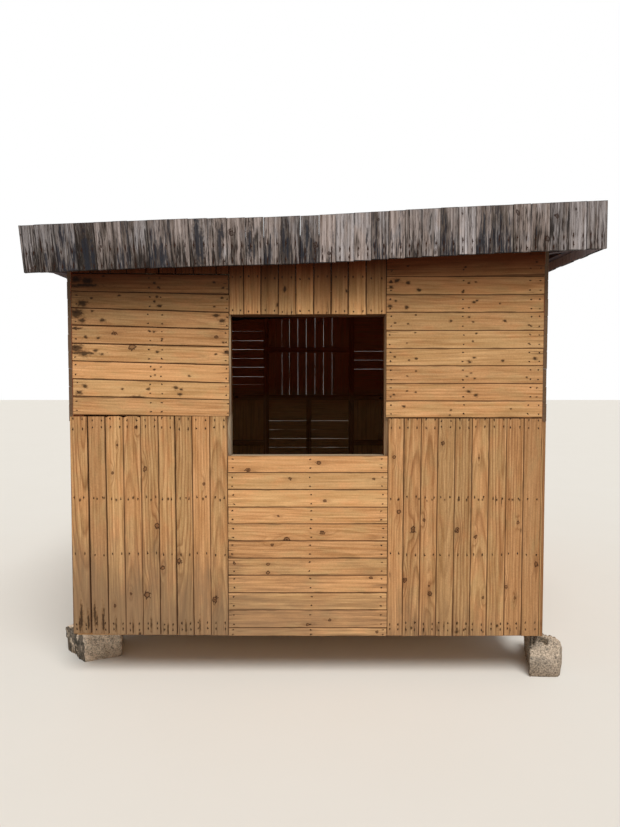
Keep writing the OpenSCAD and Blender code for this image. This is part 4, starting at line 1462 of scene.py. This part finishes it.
class KIOSK_OT_stage(bpy.types.Operator):
    """Set the camera, the light and the pale floor"""
    bl_idname = "kiosk.stage"
    bl_label = "Stage"

    def execute(self, context):
        stage = settings()[2]
        scene = context.scene
        scene.view_settings.view_transform = "Standard"
        camera = stand("Camera", bpy.data.cameras.new("Camera"))
        camera.data.lens = stage.lens
        camera.data.sensor_width = 36
        camera.data.clip_end = 200
        camera.data.shift_y = stage.eye_shift
        camera.location = (MIDDLE_X + stage.eye_side, -stage.eye_distance, stage.eye_height)
        camera.rotation_euler = (math.pi / 2 - stage.eye_dip, 0, 0)
        scene.camera = camera

        sun = stand("Sun", bpy.data.lights.new("Sun", "SUN"))
        sun.data.energy = stage.sun
        sun.data.angle = stage.sun_size
        sun.rotation_euler = (math.pi / 2 - stage.sun_height, 0, stage.sun_turn)

        world = bpy.data.worlds.new("Sky")
        scene.world = world
        world.use_nodes = True
        world.node_tree.nodes.clear()
        g = Graph(world.node_tree)
        path = {value.socket.name: value for value in g.node("ShaderNodeLightPath")}
        seen = most(path["Is Camera Ray"], path["Is Glossy Ray"], path["Is Transmission Ray"])
        light = g.put("ShaderNodeBackground", {"Color": (1, 1, 1, 1), "Strength": stage.sky})
        backdrop = g.put("ShaderNodeBackground", {"Color": (1, 1, 1, 1), "Strength": 1.0})
        g.node("ShaderNodeOutputWorld", {"Surface": g.put("ShaderNodeMixShader", (seen, light, backdrop))})

        bpy.ops.mesh.primitive_plane_add(size=60)
        floor = context.object
        floor.name = "floor"
        g = new_finish("Floor")
        cloud = g.noise(g.place(), 1.4, 4.0, 0.6)
        colour = g.mix(cloud * 0.06, stage.floor, (1, 1, 1))
        floor.data.materials.append(end_finish(g, "Floor", colour, 0.9, cloud, 0.002, 0.1))
        return {"FINISHED"}


STEPS = (KIOSK_OT_stage, KIOSK_OT_timbers, KIOSK_OT_blocks, KIOSK_OT_walls, KIOSK_OT_fascia, KIOSK_OT_roof)


class KIOSK_PT_panel(bpy.types.Panel):
    """Sidebar panel with the steps and their settings"""
    bl_idname = "KIOSK_PT_panel"
    bl_label = "Street Kiosk"
    bl_space_type = "VIEW_3D"
    bl_region_type = "UI"
    bl_category = "Kiosk"

    def draw(self, context):
        for step in STEPS:
            self.layout.operator(step.bl_idname)
        for group in settings():
            box = self.layout.box()
            for key in group.bl_rna.properties.keys():
                if key not in ("rna_type", "name"):
                    box.prop(group, key)


GROUPS = {"kiosk_sizes": KioskSizes, "kiosk_colours": KioskColours, "kiosk_stage": KioskStage}
CLASSES = (*GROUPS.values(), *STEPS, KIOSK_PT_panel)


def register():
    for cls in CLASSES:
        bpy.utils.register_class(cls)
    for key, group in GROUPS.items():
        setattr(bpy.types.Scene, key, bpy.props.PointerProperty(type=group))


def unregister():
    for key in GROUPS:
        delattr(bpy.types.Scene, key)
    for cls in reversed(CLASSES):
        bpy.utils.unregister_class(cls)


def main():
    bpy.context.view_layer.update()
    register()
    bpy.ops.kiosk.stage()
    bpy.ops.kiosk.timbers()
    bpy.ops.kiosk.blocks()
    bpy.ops.kiosk.walls()
    bpy.ops.kiosk.fascia()
    bpy.ops.kiosk.roof()


if __name__ == "__main__":
    main()
